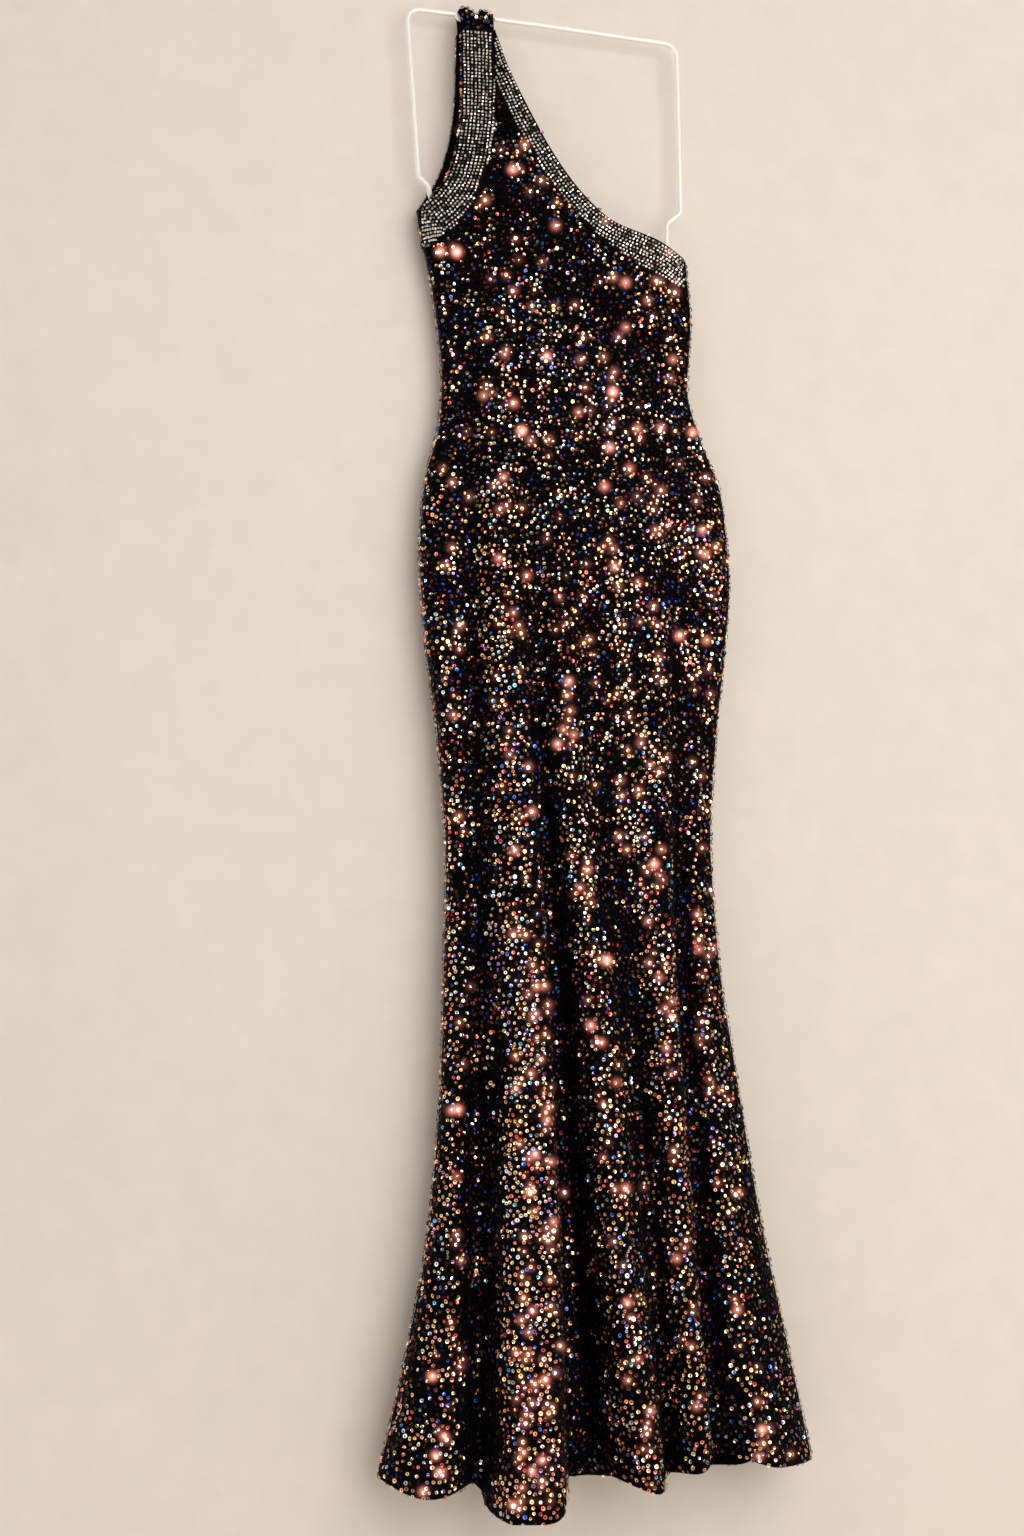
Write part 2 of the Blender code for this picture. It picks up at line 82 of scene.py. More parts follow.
SIDE_CROWDING = 1.5       # over 1 sets the columns closer together near the side seams

# The section at each drop: left and right side, the side seam's depth, and how far the cloth stands
# in front of the seam and behind it.
SECTION_COLUMNS = {"drop": 0, "left": 1, "right": 2, "seam": 3, "front": 4, "back": 5}
SECTIONS = np.array([
    (0.000, -0.1390, 0.1530, 0.000, 0.0095, 0.0095),
    (0.120, -0.1390, 0.1530, 0.000, 0.0155, 0.0150),
    (0.228, -0.1390, 0.1530, 0.000, 0.0180, 0.0145),
    (0.258, -0.1345, 0.1525, 0.000, 0.0185, 0.0140),
    (0.320, -0.1235, 0.1550, 0.000, 0.0195, 0.0130),
    (0.405, -0.1160, 0.1480, 0.000, 0.0215, 0.0130),
    (0.455, -0.1205, 0.1590, -0.001, 0.0250, 0.0150),
    (0.520, -0.1370, 0.1790, -0.003, 0.0310, 0.0180),
    (0.600, -0.1440, 0.1830, -0.005, 0.0360, 0.0210),
    (0.690, -0.1390, 0.1730, -0.007, 0.0375, 0.0220),
    (0.780, -0.1295, 0.1590, -0.008, 0.0380, 0.0225),
    (0.900, -0.1238, 0.1475, -0.010, 0.0390, 0.0235),
    (1.000, -0.1280, 0.1500, -0.012, 0.0410, 0.0250),
    (1.100, -0.1330, 0.1605, -0.014, 0.0450, 0.0270),
    (1.250, -0.1490, 0.1785, -0.018, 0.0540, 0.0310),
    (1.380, -0.1770, 0.2010, -0.020, 0.0610, 0.0340),
    (1.500, -0.2100, 0.2220, -0.022, 0.0660, 0.0350),
])

# Folds that run down the skirt: where each crosses these drops, and how far it stands out at each but
# the first, where the cloth is still flat.
FOLD_DROPS = (0.34, 0.50, 0.75, 1.00, 1.25, 1.50)
Fold = namedtuple("Fold", "name is_ridge places rises")
FRONT_FOLDS = [
    Fold("left lobe", True,
         (-0.113, -0.120, -0.114, -0.122, -0.140, -0.167), (-0.003, -0.005, -0.003, -0.001, 0.001)),
    Fold("left valley", False,
         (-0.090, -0.094, -0.099, -0.103, -0.106, -0.110), (-0.010, -0.016, -0.024, -0.036, -0.047)),
    Fold("main lobe's near side", True,
         (-0.068, -0.075, -0.070, -0.062, -0.078, -0.095), (0.003, 0.006, 0.011, 0.016, 0.019)),
    Fold("main lobe", True,
         (-0.056, -0.064, -0.058, -0.046, -0.052, -0.060), (0.005, 0.008, 0.014, 0.020, 0.024)),
    Fold("middle valley", False,
         (-0.036, -0.039, -0.039, -0.029, -0.024, -0.025), (-0.001, -0.011, -0.021, -0.035, -0.048)),
    Fold("middle valley's far side", False,
         (-0.026, -0.032, -0.033, -0.023, -0.016, -0.007), (-0.001, -0.011, -0.021, -0.035, -0.048)),
    Fold("middle lobe", True,
         (-0.005, -0.013, -0.012, 0.007, 0.018, 0.038), (0.002, 0.004, 0.008, 0.012, 0.014)),
    Fold("inner valley", False,
         (0.020, 0.014, 0.017, 0.045, 0.055, 0.064), (0.0, -0.010, -0.014, -0.018, -0.025)),
    Fold("right lobe", True,
         (0.078, 0.088, 0.086, 0.083, 0.083, 0.088), (0.002, 0.005, 0.009, 0.010, 0.007)),
    Fold("right valley", False,
         (0.108, 0.117, 0.117, 0.104, 0.107, 0.113), (-0.002, -0.011, -0.020, -0.027, -0.031)),
    Fold("side lobe", True,
         (0.131, 0.146, 0.139, 0.129, 0.137, 0.172), (-0.002, -0.004, -0.002, 0.001, 0.004)),
]
FRONT_COLUMNS = (6, 4, 4, 2, 4, 1, 4, 4, 5, 3, 3, 6)

BACK_FOLDS = [
    Fold("left back lobe", True,
         (-0.108, -0.116, -0.110, -0.112, -0.130, -0.158), (0.0, -0.002, -0.003, -0.002, -0.002)),
    Fold("left back valley", False,
         (-0.082, -0.088, -0.084, -0.082, -0.090, -0.106), (-0.003, -0.007, -0.010, -0.015, -0.022)),
    Fold("left centre lobe", True,
         (-0.050, -0.052, -0.049, -0.045, -0.050, -0.059), (0.0, 0.0, 0.0, 0.0, 0.0)),
    Fold("centre valley", False,
         (-0.018, -0.018, -0.015, -0.012, -0.012, -0.012), (-0.002, -0.006, -0.011, -0.016, -0.020)),
    Fold("centre lobe", True,
         (0.014, 0.016, 0.018, 0.021, 0.028, 0.035), (0.0, 0.0, 0.0, 0.0, 0.001)),
    Fold("right centre valley", False,
         (0.046, 0.050, 0.050, 0.053, 0.064, 0.080), (-0.003, -0.006, -0.009, -0.013, -0.019)),
    Fold("right back lobe", True,
         (0.078, 0.084, 0.082, 0.083, 0.098, 0.120), (0.0, 0.0, 0.0, 0.0, 0.0)),
    Fold("right back valley", False,
         (0.104, 0.114, 0.110, 0.108, 0.125, 0.157), (-0.002, -0.007, -0.009, -0.013, -0.018)),
    Fold("right side lobe", True,
         (0.128, 0.144, 0.136, 0.130, 0.150, 0.188), (0.0, -0.002, -0.003, -0.002, -0.002)),
]
BACK_COLUMNS = (5, 3, 3, 3, 3, 3, 3, 3, 3, 5)

# Short soft dents, and creases that the solids leave out: place, size, lean to the right going down,
# and how far each sinks in. A crease with a minus sign stands out.
Dent = namedtuple("Dent", "x drop half_width half_height lean depth")
FRONT_DENTS = [
    Dent(-0.022, 0.218, 0.016, 0.045, 0.00, 0.0035),
    Dent(0.052, 0.328, 0.022, 0.026, 0.45, 0.0030),
    Dent(0.112, 0.404, 0.014, 0.030, 0.40, 0.0025),
    Dent(0.068, 0.770, 0.015, 0.130, -0.02, 0.0080),
]
FRONT_CREASES = [
    Dent(-0.050, 0.250, 0.007, 0.050, 0.10, -0.0016), Dent(-0.066, 0.300, 0.006, 0.060, 0.05, 0.0014),
    Dent(0.000, 0.262, 0.007, 0.045, 0.25, -0.0016), Dent(0.020, 0.268, 0.006, 0.034, 0.35, 0.0015),
    Dent(0.080, 0.318, 0.007, 0.030, 0.60, -0.0014), Dent(0.036, 0.375, 0.006, 0.036, 0.30, 0.0012),
    Dent(-0.036, 0.420, 0.007, 0.060, -0.05, -0.0015), Dent(-0.014, 0.440, 0.006, 0.050, 0.05, 0.0014),
    Dent(0.062, 0.452, 0.008, 0.050, 0.10, -0.0015), Dent(0.098, 0.470, 0.007, 0.046, 0.30, 0.0014),
    Dent(-0.098, 0.420, 0.006, 0.045, -0.20, 0.0012), Dent(0.134, 0.440, 0.006, 0.034, 0.35, -0.0012),
    Dent(0.040, 0.560, 0.008, 0.080, 0.02, 0.0018), Dent(0.010, 0.600, 0.008, 0.070, 0.03, -0.0016),
    Dent(-0.110, 0.640, 0.006, 0.080, 0.02, 0.0016), Dent(0.033, 0.800, 0.006, 0.110, 0.09, -0.0028),
    Dent(0.100, 0.800, 0.006, 0.090, -0.02, 0.0018), Dent(-0.072, 0.860, 0.005, 0.100, 0.06, 0.0018),
    Dent(0.136, 0.880, 0.006, 0.090, -0.05, 0.0018), Dent(-0.086, 1.180, 0.006, 0.110, -0.07, 0.0026),
    Dent(-0.070, 1.380, 0.006, 0.090, -0.05, 0.0026), Dent(0.032, 1.300, 0.006, 0.100, 0.04, 0.0026),
    Dent(0.088, 1.240, 0.006, 0.110, 0.02, 0.0024), Dent(0.150, 1.290, 0.007, 0.100, 0.16, 0.0026),
    Dent(-0.150, 1.330, 0.006, 0.090, -0.14, 0.0022), Dent(0.160, 1.440, 0.006, 0.050, 0.20, -0.0018),
]
BACK_DENTS = [
    Dent(0.020, 0.300, 0.020, 0.050, 0.30, 0.0025),
    Dent(-0.060, 0.350, 0.016, 0.060, 0.10, 0.0020),
]
BACK_CREASES = [
    Dent(-0.040, 0.260, 0.007, 0.050, 0.12, 0.0014), Dent(0.070, 0.300, 0.007, 0.034, 0.50, 0.0013),
    Dent(-0.020, 0.400, 0.007, 0.060, 0.00, 0.0014), Dent(0.090, 0.420, 0.008, 0.045, 0.25, 0.0014),
    Dent(-0.090, 0.450, 0.007, 0.050, -0.15, 0.0012), Dent(0.034, 0.540, 0.008, 0.070, 0.02, 0.0014),
    Dent(-0.064, 0.620, 0.007, 0.080, 0.02, 0.0016), Dent(0.070, 0.740, 0.007, 0.100, 0.00, 0.0016),
    Dent(-0.034, 0.860, 0.006, 0.090, 0.03, 0.0018), Dent(0.100, 0.960, 0.006, 0.100, 0.05, 0.0018),
    Dent(-0.070, 1.120, 0.006, 0.110, -0.05, 0.0020), Dent(0.040, 1.240, 0.007, 0.100, 0.04, 0.0022),
    Dent(-0.030, 1.360, 0.006, 0.080, -0.03, 0.0022), Dent(0.106, 1.380, 0.007, 0.080, 0.10, 0.0022),
    Dent(-0.120, 1.340, 0.007, 0.090, -0.12, 0.0022),
]

# The edges of the bodice, from the strap down to the side seams: x and drop.
FRONT_ARMHOLE = [(-0.0905, 0.0175), (-0.0915, 0.0810), (-0.0935, 0.1210), (-0.0985, 0.1540),
                 (-0.1080, 0.1880), (-0.1220, 0.2090), (-0.1390, 0.2280)]
BACK_ARMHOLE = [(-0.0905, 0.0175), (-0.0925, 0.0810), (-0.0965, 0.1210), (-0.1035, 0.1540),
                (-0.1140, 0.1840), (-0.1270, 0.2060), (-0.1390, 0.2280)]
FRONT_NECKLINE = [(-0.0550, 0.0175), (-0.0440, 0.0540), (-0.0262, 0.0960), (0.0065, 0.1590),
                  (0.0390, 0.2020), (0.0690, 0.2255), (0.1180, 0.2405), (0.1530, 0.2590)]
BACK_NECKLINE = [(-0.0550, 0.0175), (-0.0510, 0.0600), (-0.0330, 0.1060), (0.0030, 0.1720),
                 (0.0400, 0.2160), (0.0720, 0.2380), (0.1150, 0.2520), (0.1530, 0.2590)]

# The hem's drop across the front and the back.
FRONT_HEM = [(-0.210, 1.464), (-0.165, 1.480), (-0.111, 1.474), (-0.1085, 1.492), (-0.104, 1.499),
             (-0.070, 1.500), (-0.048, 1.495), (-0.025, 1.474), (-0.007, 1.472), (0.050, 1.486),
             (0.064, 1.476), (0.088, 1.472), (0.113, 1.463), (0.172, 1.478), (0.222, 1.480)]
BACK_HEM = [(-0.210, 1.464), (-0.150, 1.482), (-0.106, 1.478), (-0.059, 1.490), (-0.012, 1.484),
            (0.035, 1.492), (0.080, 1.484), (0.120, 1.488), (0.222, 1.480)]

# The stone bands: outer x and drop near the panel's edge, then inner x and drop.
ARMHOLE_BAND = np.array([
    (-0.0898, 0.0222, -0.0562, 0.0222), (-0.0908, 0.0800, -0.0562, 0.0760),
    (-0.0927, 0.1210, -0.0582, 0.1150), (-0.0975, 0.1530, -0.0620, 0.1530),
    (-0.1068, 0.1880, -0.0735, 0.1950), (-0.1210, 0.2100, -0.0925, 0.2350),
    (-0.1368, 0.2272, -0.1130, 0.2550), (-0.1356, 0.2480, -0.1240, 0.2640),
    (-0.1326, 0.2650, -0.1295, 0.2695),
])
NECKLINE_BAND = np.array([
    (-0.0512, 0.0270, -0.0566, 0.0270), (-0.0440, 0.0520, -0.0566, 0.0560),
    (-0.0360, 0.0730, -0.0556, 0.0810), (-0.0270, 0.0965, -0.0450, 0.1070),
    (-0.0075, 0.1370, -0.0235, 0.1470), (0.0215, 0.1825, 0.0060, 0.1945),
    (0.0385, 0.2035, 0.0240, 0.2175), (0.0620, 0.2225, 0.0500, 0.2430),
    (0.0940, 0.2350, 0.0820, 0.2660), (0.1180, 0.2425, 0.1080, 0.2790),
    (0.1370, 0.2515, 0.1300, 0.2880), (0.1480, 0.2590, 0.1470, 0.2930),
])

# How high the gathered strap stands over the bar, from its left edge to its right one: x and height.
GATHERS = [(-0.0915, 0.0050), (-0.0845, 0.0090), (-0.0785, 0.0062),
           (-0.0725, 0.0008), (-0.0665, 0.0080), (-0.0555, 0.0038)]

# The frame's wire, once round: x, drop and radius of each bend.
WIRE_BENDS = [
    (0.0000, 0.0000, 0.010), (0.1535, 0.0040, 0.014), (0.1500, 0.2005, 0.006),
    (0.1340, 0.2145, 0.006), (0.1290, 0.2960, 0.014), (-0.1110, 0.2960, 0.014),
    (-0.1270, 0.1975, 0.005), (-0.1375, 0.1870, 0.005), (-0.1470, -0.0010, 0.014),
    (-0.0940, -0.0010, 0.003), (-0.0900, 0.0040, 0.003), (-0.0570, 0.0040, 0.003),
    (-0.0530, -0.0005, 0.003),
]

# ---------------------------------------------------------------- the view
FRAME_SIZE = (1024, 1536)
VIEW_LENGTH = 1800.0      # the lens in pixels of that frame
CAMERA_PLACE = Vector((-0.50063, -1.71813, -1.08708))
CAMERA_TURN = math.radians(14.6)
CAMERA_RISE = math.radians(8.9)
CAMERA_ROLL = math.radians(1.45)
SENSOR_WIDTH = 36.0       # of the camera, in millimetres
CLIP_RANGE = (0.05, 50.0)


# ---------------------------------------------------------------- reading the tables
def smooth(places, values, at):
    """Cubic curve through the values that never overshoots them, at each of the given places."""
    places, values = np.asarray(places, float), np.asarray(values, float)
    at = np.clip(at, places[0], places[-1])
    steps = np.diff(places)
    rates = np.diff(values) / steps
    product, total = rates[:-1] * rates[1:], rates[:-1] + rates[1:]
    inner = np.where(product > 0, 2 * product / np.where(total == 0, 1, total), 0.0)
    slopes = np.concatenate([rates[:1], inner, rates[-1:]])
    i = np.clip(np.searchsorted(places, at, side="right") - 1, 0, len(steps) - 1)
    t = (at - places[i]) / steps[i]
    start = values[i] * (1 + 2 * t) * (1 - t) ** 2 + values[i + 1] * t * t * (3 - 2 * t)
    return start + steps[i] * (slopes[i] * t * (1 - t) ** 2 - slopes[i + 1] * t * t * (1 - t))


def section(name, drop):
    return smooth(SECTIONS[:, 0], SECTIONS[:, SECTION_COLUMNS[name]], drop)


def along(table, share):
    """Rows of a table at these shares of its length, measured along its first two columns."""
    table = np.asarray(table, float)
    legs = np.hypot(np.diff(table[:, 0]), np.diff(table[:, 1]))
    lengths = np.concatenate([[0.0], np.cumsum(legs)])
    at = np.asarray(share, float) * lengths[-1]
    return np.stack([smooth(lengths, column, at) for column in table.T], axis=-1)


def ease(t):
    t = np.clip(t, 0.0, 1.0)
    return t * t * (3 - 2 * t)


def unit(vectors):
    return vectors / np.maximum(np.linalg.norm(vectors, axis=-1, keepdims=True), 1e-12)


def dent_total(dents, x, drop):
    """Sum of the dents' depths at these places."""
    total = np.zeros_like(x)
    for dent in dents:
        down = drop - dent.drop
        across = (x - dent.x - dent.lean * down) / dent.half_width
        total += dent.depth * np.exp(-across ** 2 - (down / dent.half_height) ** 2)
    return total


# ---------------------------------------------------------------- the form of the cloth
def side_edge(name, bodice_edge, bodice_rows, down):
    """x and drop all down one side of a panel: the bodice's edge, then the side seam."""
    top = along(bodice_edge, np.arange(bodice_rows) / bodice_rows)
    drop = bodice_edge[-1, 1] + (HEM_LEVEL - bodice_edge[-1, 1]) * down
    return np.concatenate([top, np.stack([section(name, drop), drop], axis=-1)])


class ClothSide:
    """The front or the back of the gown: its depth at any place, and the grid of its cloth."""

    def __init__(self, facing, depth_name, folds, dents, columns, armhole, neckline, hem):
        self.facing = facing
        self.depth_name = depth_name
        self.folds = folds
        self.dents = dents
        self.columns = columns
        self.armhole = np.asarray(armhole)
        self.neckline = np.asarray(neckline)
        self.hem = np.asarray(hem)

    def fold_lines(self, drop):
        """Where the sides and the folds cross these drops, and how far each stands out."""
        lines = [(section("left", drop), self.folds[0].is_ridge, np.zeros_like(drop))]
        for fold in self.folds:
            place = smooth(FOLD_DROPS, fold.places, drop)
            lines.append((place, fold.is_ridge, smooth(FOLD_DROPS, (0.0, *fold.rises), drop)))
        lines.append((section("right", drop), self.folds[-1].is_ridge, np.zeros_like(drop)))
        return lines

    def fold_rise(self, x, drop):
        lines = self.fold_lines(drop)
        total = np.zeros_like(x)
        for k, ((x0, ridge0, rise0), (x1, ridge1, rise1)) in enumerate(zip(lines, lines[1:])):
            t = np.clip((x - x0) / (x1 - x0), 0.0, 1.0)
            if ridge0 and not ridge1:
                share = ease(t ** RIDGE_BREADTH)
            elif ridge1 and not ridge0:
                share = 1.0 - ease((1.0 - t) ** RIDGE_BREADTH)
            else:
                share = ease(t)
            inside = (x > x0) | (k == 0)
            total = np.where(inside, rise0 + (rise1 - rise0) * share, total)
        return total

    def depth(self, x, drop):
        """How far the outer face of the cloth stands from the plane of the side seams."""
        left, right = section("left", drop), section("right", drop)
        across = np.minimum(np.abs(2.0 * (x - left) / (right - left) - 1.0), 1.0)
        rounding = (1.0 - across ** SIDE_ROUNDING) ** (1.0 / SIDE_ROUNDING)
        full = section(self.depth_name, drop) + self.fold_rise(x, drop)
        full = full - dent_total(self.dents, x, drop)
        return SEAM_FLAT + (full - SEAM_FLAT) * rounding

    def place(self, x, drop, depth=None):
        x, drop = np.asarray(x, float), np.asarray(drop, float)
        depth = self.depth(x, drop) if depth is None else depth
        return np.stack([x, section("seam", drop) + self.facing * depth, -drop], axis=-1)

    def outward(self, x, drop):
        """Direction out of the cloth at these places."""
        x, drop = np.asarray(x, float), np.asarray(drop, float)
        step = NORMAL_STEP
        right_way = self.place(x + step, drop) - self.place(x - step, drop)
        down_way = self.place(x, drop + step) - self.place(x, drop - step)
        normal = unit(np.cross(right_way, down_way))
        return normal * np.where(normal[..., 1:2] * self.facing > 0, 1.0, -1.0)

    def column_shares(self, drop, fineness):
        """Shares of the width at which the columns run at each drop, so that they follow the folds."""
        lines = self.fold_lines(np.maximum(drop, FOLD_DROPS[0]))
        lines = np.stack([place for place, _, _ in lines], axis=-1)
        shares = []
        for k, count in enumerate(self.columns):
            steps = max(1, round(count * fineness))
            t = np.arange(steps) / steps
            if k == 0:
                t = t ** SIDE_CROWDING
            if k == len(self.columns) - 1:
                t = 1.0 - (1.0 - t) ** SIDE_CROWDING
            shares.append(lines[:, k:k + 1] + (lines[:, k + 1:k + 2] - lines[:, k:k + 1]) * t)
        x = np.concatenate(shares + [lines[:, -1:]], axis=1)
        return (x - x[:, :1]) / (x[:, -1:] - x[:, :1])

    def grid(self, bodice_rows, skirt_rows, fineness):
        """Outer points of the whole panel, row by row, with the x and the drop of each."""
        down = np.arange(skirt_rows + 1) / skirt_rows
        left, right = (side_edge(name, bodice_edge, bodice_rows, down)
                       for name, bodice_edge in (("left", self.armhole), ("right", self.neckline)))
        shares = self.column_shares(0.5 * (left[:, 1] + right[:, 1]), fineness)
        x = left[:, :1] + (right[:, :1] - left[:, :1]) * shares
        drop = left[:, 1:] + (right[:, 1:] - left[:, 1:]) * shares
        wave = np.zeros(len(left))
        wave[bodice_rows:] = ease((down - HEM_WAVE_START) / (1.0 - HEM_WAVE_START))
        drop += (smooth(self.hem[:, 0], self.hem[:, 1], x) - HEM_LEVEL) * wave[:, None]
        in_skirt = (np.arange(len(left)) >= bodice_rows)[:, None]
        x = np.where(in_skirt, np.clip(x, section("left", drop), section("right", drop)), x)
        x = np.concatenate([x[:, :1], x, x[:, -1:]], axis=1)
        drop = np.concatenate([drop[:, :1], drop, drop[:, -1:]], axis=1)
        x[:bodice_rows, 0] -= EDGE_WIDTH
        x[:bodice_rows, -1] += EDGE_WIDTH
        points = self.place(x, drop)
        skirt = slice(bodice_rows, None)
        for column, start in ((0, self.armhole[-1, 1]), (-1, self.neckline[-1, 1])):
            opening = np.clip(1.0 - (drop[skirt, column] - start) / SEAM_TOP_LENGTH, 0.0, 1.0)
            depth = SEAM_GAP / 2 + (SEAM_TOP_OPEN - SEAM_GAP / 2) * opening
            points[skirt, column] = self.place(x[skirt, column], drop[skirt, column], depth)
        return points, x, drop


FRONT = ClothSide(-1, "front", FRONT_FOLDS, FRONT_DENTS + FRONT_CREASES, FRONT_COLUMNS,
                  FRONT_ARMHOLE, FRONT_NECKLINE, FRONT_HEM)
BACK = ClothSide(1, "back", BACK_FOLDS, BACK_DENTS + BACK_CREASES, BACK_COLUMNS,
                 BACK_ARMHOLE, BACK_NECKLINE, BACK_HEM)


# ---------------------------------------------------------------- meshes
WAYS = ("out_way", "row_way")        # fields that hold a direction
SPARE_FIELDS = ("bare", "shine", *WAYS)


def in_scene(item):
    bpy.context.scene.collection.objects.link(item)
    return item


def discard(item):
    bpy.data.objects.remove(item, do_unlink=True)


def final_mesh(item):
    """Plain mesh of an object as its modifiers leave it."""
    bpy.context.view_layer.update()
    evaluated = item.evaluated_get(bpy.context.evaluated_depsgraph_get())
    return bpy.data.meshes.new_from_object(evaluated)


def new_object(name, mesh, materials=()):
    for material in materials:
        mesh.materials.append(material)
    return in_scene(bpy.data.objects.new(name, mesh))


def add_fields(mesh, fields):
    """A number for each point of a mesh, or a direction where the field is a way."""
    for name, values in fields.items():
        kind, key = ("FLOAT_VECTOR", "vector") if name in WAYS else ("FLOAT", "value")
        layer = mesh.attributes.new(name, kind, "POINT")
        layer.data.foreach_set(key, np.asarray(values, np.float32).reshape(-1))


def sheet_object(name, points, flipped, materials, fields=None):
    """Sheet through a grid of points, with a UV map in metres and a value per point for each field."""
    rows, columns = points.shape[:2]
    number = np.arange(rows * columns).reshape(rows, columns)
    corners = [number[:-1, :-1], number[1:, :-1], number[1:, 1:], number[:-1, 1:]]
    faces = np.stack(corners[::-1] if flipped else corners, axis=-1).reshape(-1, 4)
    mesh = bpy.data.meshes.new(name)
    mesh.from_pydata(points.reshape(-1, 3).tolist(), [], faces.tolist())
    across = np.linalg.norm(np.diff(points, axis=1), axis=2)
    down = np.linalg.norm(np.diff(points, axis=0), axis=2)
    u = np.concatenate([np.zeros((rows, 1)), np.cumsum(across, axis=1)], axis=1)
    v = np.concatenate([np.zeros((1, columns)), np.cumsum(down, axis=0)], axis=0)
    places = np.stack([u, v], axis=-1).reshape(-1, 2)
    mesh.uv_layers.new(name="cloth").data.foreach_set("uv", places[faces.reshape(-1)].reshape(-1))
    add_fields(mesh, fields or {})
    mesh.shade_smooth()
    mesh.update()
    return new_object(name, mesh, materials)


def add_wall(piece, thickness, lining):
    """Gives a sheet its wall, inwards, with the lining on its inner face."""
    wall = piece.modifiers.new("wall", "SOLIDIFY")
    wall.thickness = thickness
    wall.offset = -1.0
    wall.material_offset = 1 if lining else 0


def sheet_area(points):
    right_way, down_way = points[:-1, 1:] - points[:-1, :-1], points[1:, :-1] - points[:-1, :-1]
    return float(np.linalg.norm(np.cross(right_way, down_way), axis=-1).sum())


def finish_piece(piece, slot, *nodes):
    """The piece moves with the gown and hides the nodes that it stands for. The slot is not used."""
    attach(piece, BODY)
    if nodes:
        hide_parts(*nodes)


# ---------------------------------------------------------------- material helpers
class Tree:
    """Short calls for building a tree of nodes."""

    def __init__(self, tree):
        self.tree = tree

    def node(self, kind, inputs=None, **values):
        made = self.tree.nodes.new(kind)
        for key, value in values.items():
            setattr(made, key, value)
        for key, value in (inputs or {}).items():
            self.feed(made.inputs[key], value)
        return made

    def feed(self, socket, value):
        if isinstance(value, bpy.types.NodeSocket):
            self.tree.links.new(value, socket)
        else:
            socket.default_value = value

    def math(self, operation, a, b=0.0, clamp=False):
        made = self.node("ShaderNodeMath", {0: a, 1: b}, operation=operation, use_clamp=clamp)
        return made.outputs[0]

    def add(self, a, b):
        return self.math("ADD", a, b)

    def less(self, a, b):
        return self.math("SUBTRACT", a, b)

    def times(self, a, b):
        return self.math("MULTIPLY", a, b)

    def scaled(self, vector, factor):
        return self.node("ShaderNodeVectorMath", {0: vector, 3: factor}, operation="SCALE").outputs[0]

    def combine(self, *values):
        return self.node("ShaderNodeCombineXYZ", dict(enumerate(values))).outputs[0]

    def noise(self, place, scale, detail):
        inputs = {"Vector": place, "Scale": scale, "Detail": detail}
        return self.node("ShaderNodeTexNoise", inputs).outputs["Fac"]

    def mix(self, factor, a, b):
        made = self.node("ShaderNodeMix", data_type="RGBA")
        for socket, value in zip((made.inputs[0], made.inputs[6], made.inputs[7]), (factor, a, b)):
            self.feed(socket, value)
        return made.outputs[2]

    def remap(self, value, low, high, to_low, to_high):
        made = self.node("ShaderNodeMapRange", {0: value, 1: low, 2: high, 3: to_low, 4: to_high})
        return made.outputs[0]

    def ramp(self, value, stops, mode="LINEAR"):
        made = self.node("ShaderNodeValToRGB", {0: value})
        made.color_ramp.interpolation = mode
        elements = made.color_ramp.elements
        for element, (position, _) in zip(elements, stops):
            element.position = position
        for position, _ in stops[len(elements):]:
            elements.new(position)
        for element, (_, tint) in zip(elements, stops):
            element.color = (*tint, 1.0)
        return made.outputs[0]

    def group(self, group, inputs):
        made = self.node("ShaderNodeGroup", node_tree=group)
        for key, value in inputs.items():
            self.feed(made.inputs[key], value)
        return made.outputs


FLOAT, VECTOR, INTEGER, OBJECT, MATERIAL, GEOMETRY = (
    "NodeSocket" + kind for kind in ("Float", "Vector", "Int", "Object", "Material", "Geometry"))


def new_group(kind, name, inputs, outputs):
    """Empty node group with the named inputs (type, default) and outputs (type)."""
    group = bpy.data.node_groups.new(name, kind)
    for title, (socket_type, default) in inputs.items():
        socket = group.interface.new_socket(title, in_out="INPUT", socket_type=socket_type)
        if default is not None:
            socket.default_value = default
    for title, socket_type in outputs.items():
        group.interface.new_socket(title, in_out="OUTPUT", socket_type=socket_type)
    tree = Tree(group)
    return group, tree, tree.node("NodeGroupInput").outputs, tree.node("NodeGroupOutput").inputs


THREAD_NOISE = 0.2        # scale of the unevenness for one thread
THREAD_DRIFT = 3.0        # how far it bends the threads, in radians
THREAD_TOP_PAINTED_LIGHT = 0.6        # how much lighter the top of a thread is painted: painted light on the tops, painted shade between the threads
BROAD_SPECKLE = 0.06      # scale of the speckle's drift beside its grain
SPECKLE_SHARES = (0.6, 0.4)
SPECKLE_RANGE = (0.35, 0.65)


def thread_weave_group():
    """Two sets of crossing threads: their height, and a colour level that varies at random from thread
    to thread, with painted light on the threads' tops and painted shade between them.
    """
    group, tree, given, result = new_group(
        "ShaderNodeTree", "thread_weave",
        {"Place": (VECTOR, None), "Thread": (FLOAT, 0.001), "Unevenness": (FLOAT, 0.3)},
        {"Height": FLOAT, "Shade": FLOAT})
    turns = tree.math("DIVIDE", 2 * math.pi, given["Thread"])
    noise = tree.noise(given["Place"], tree.math("DIVIDE", THREAD_NOISE, given["Thread"]), detail=3.0)
    drift = tree.times(noise, THREAD_DRIFT)
    split = tree.node("ShaderNodeSeparateXYZ", {0: given["Place"]}).outputs
    warp, weft = (tree.math("SINE", tree.add(tree.times(way, turns), drift)) for way in split[:2])
    height = tree.remap(tree.times(warp, weft), -1.0, 1.0, 0.0, 1.0)
    uneven = tree.times(tree.less(noise, 0.5), given["Unevenness"])
    tree.feed(result["Height"], height)
    tree.feed(result["Shade"], tree.math("ADD", tree.times(height, THREAD_TOP_PAINTED_LIGHT), uneven, clamp=True))
    return group


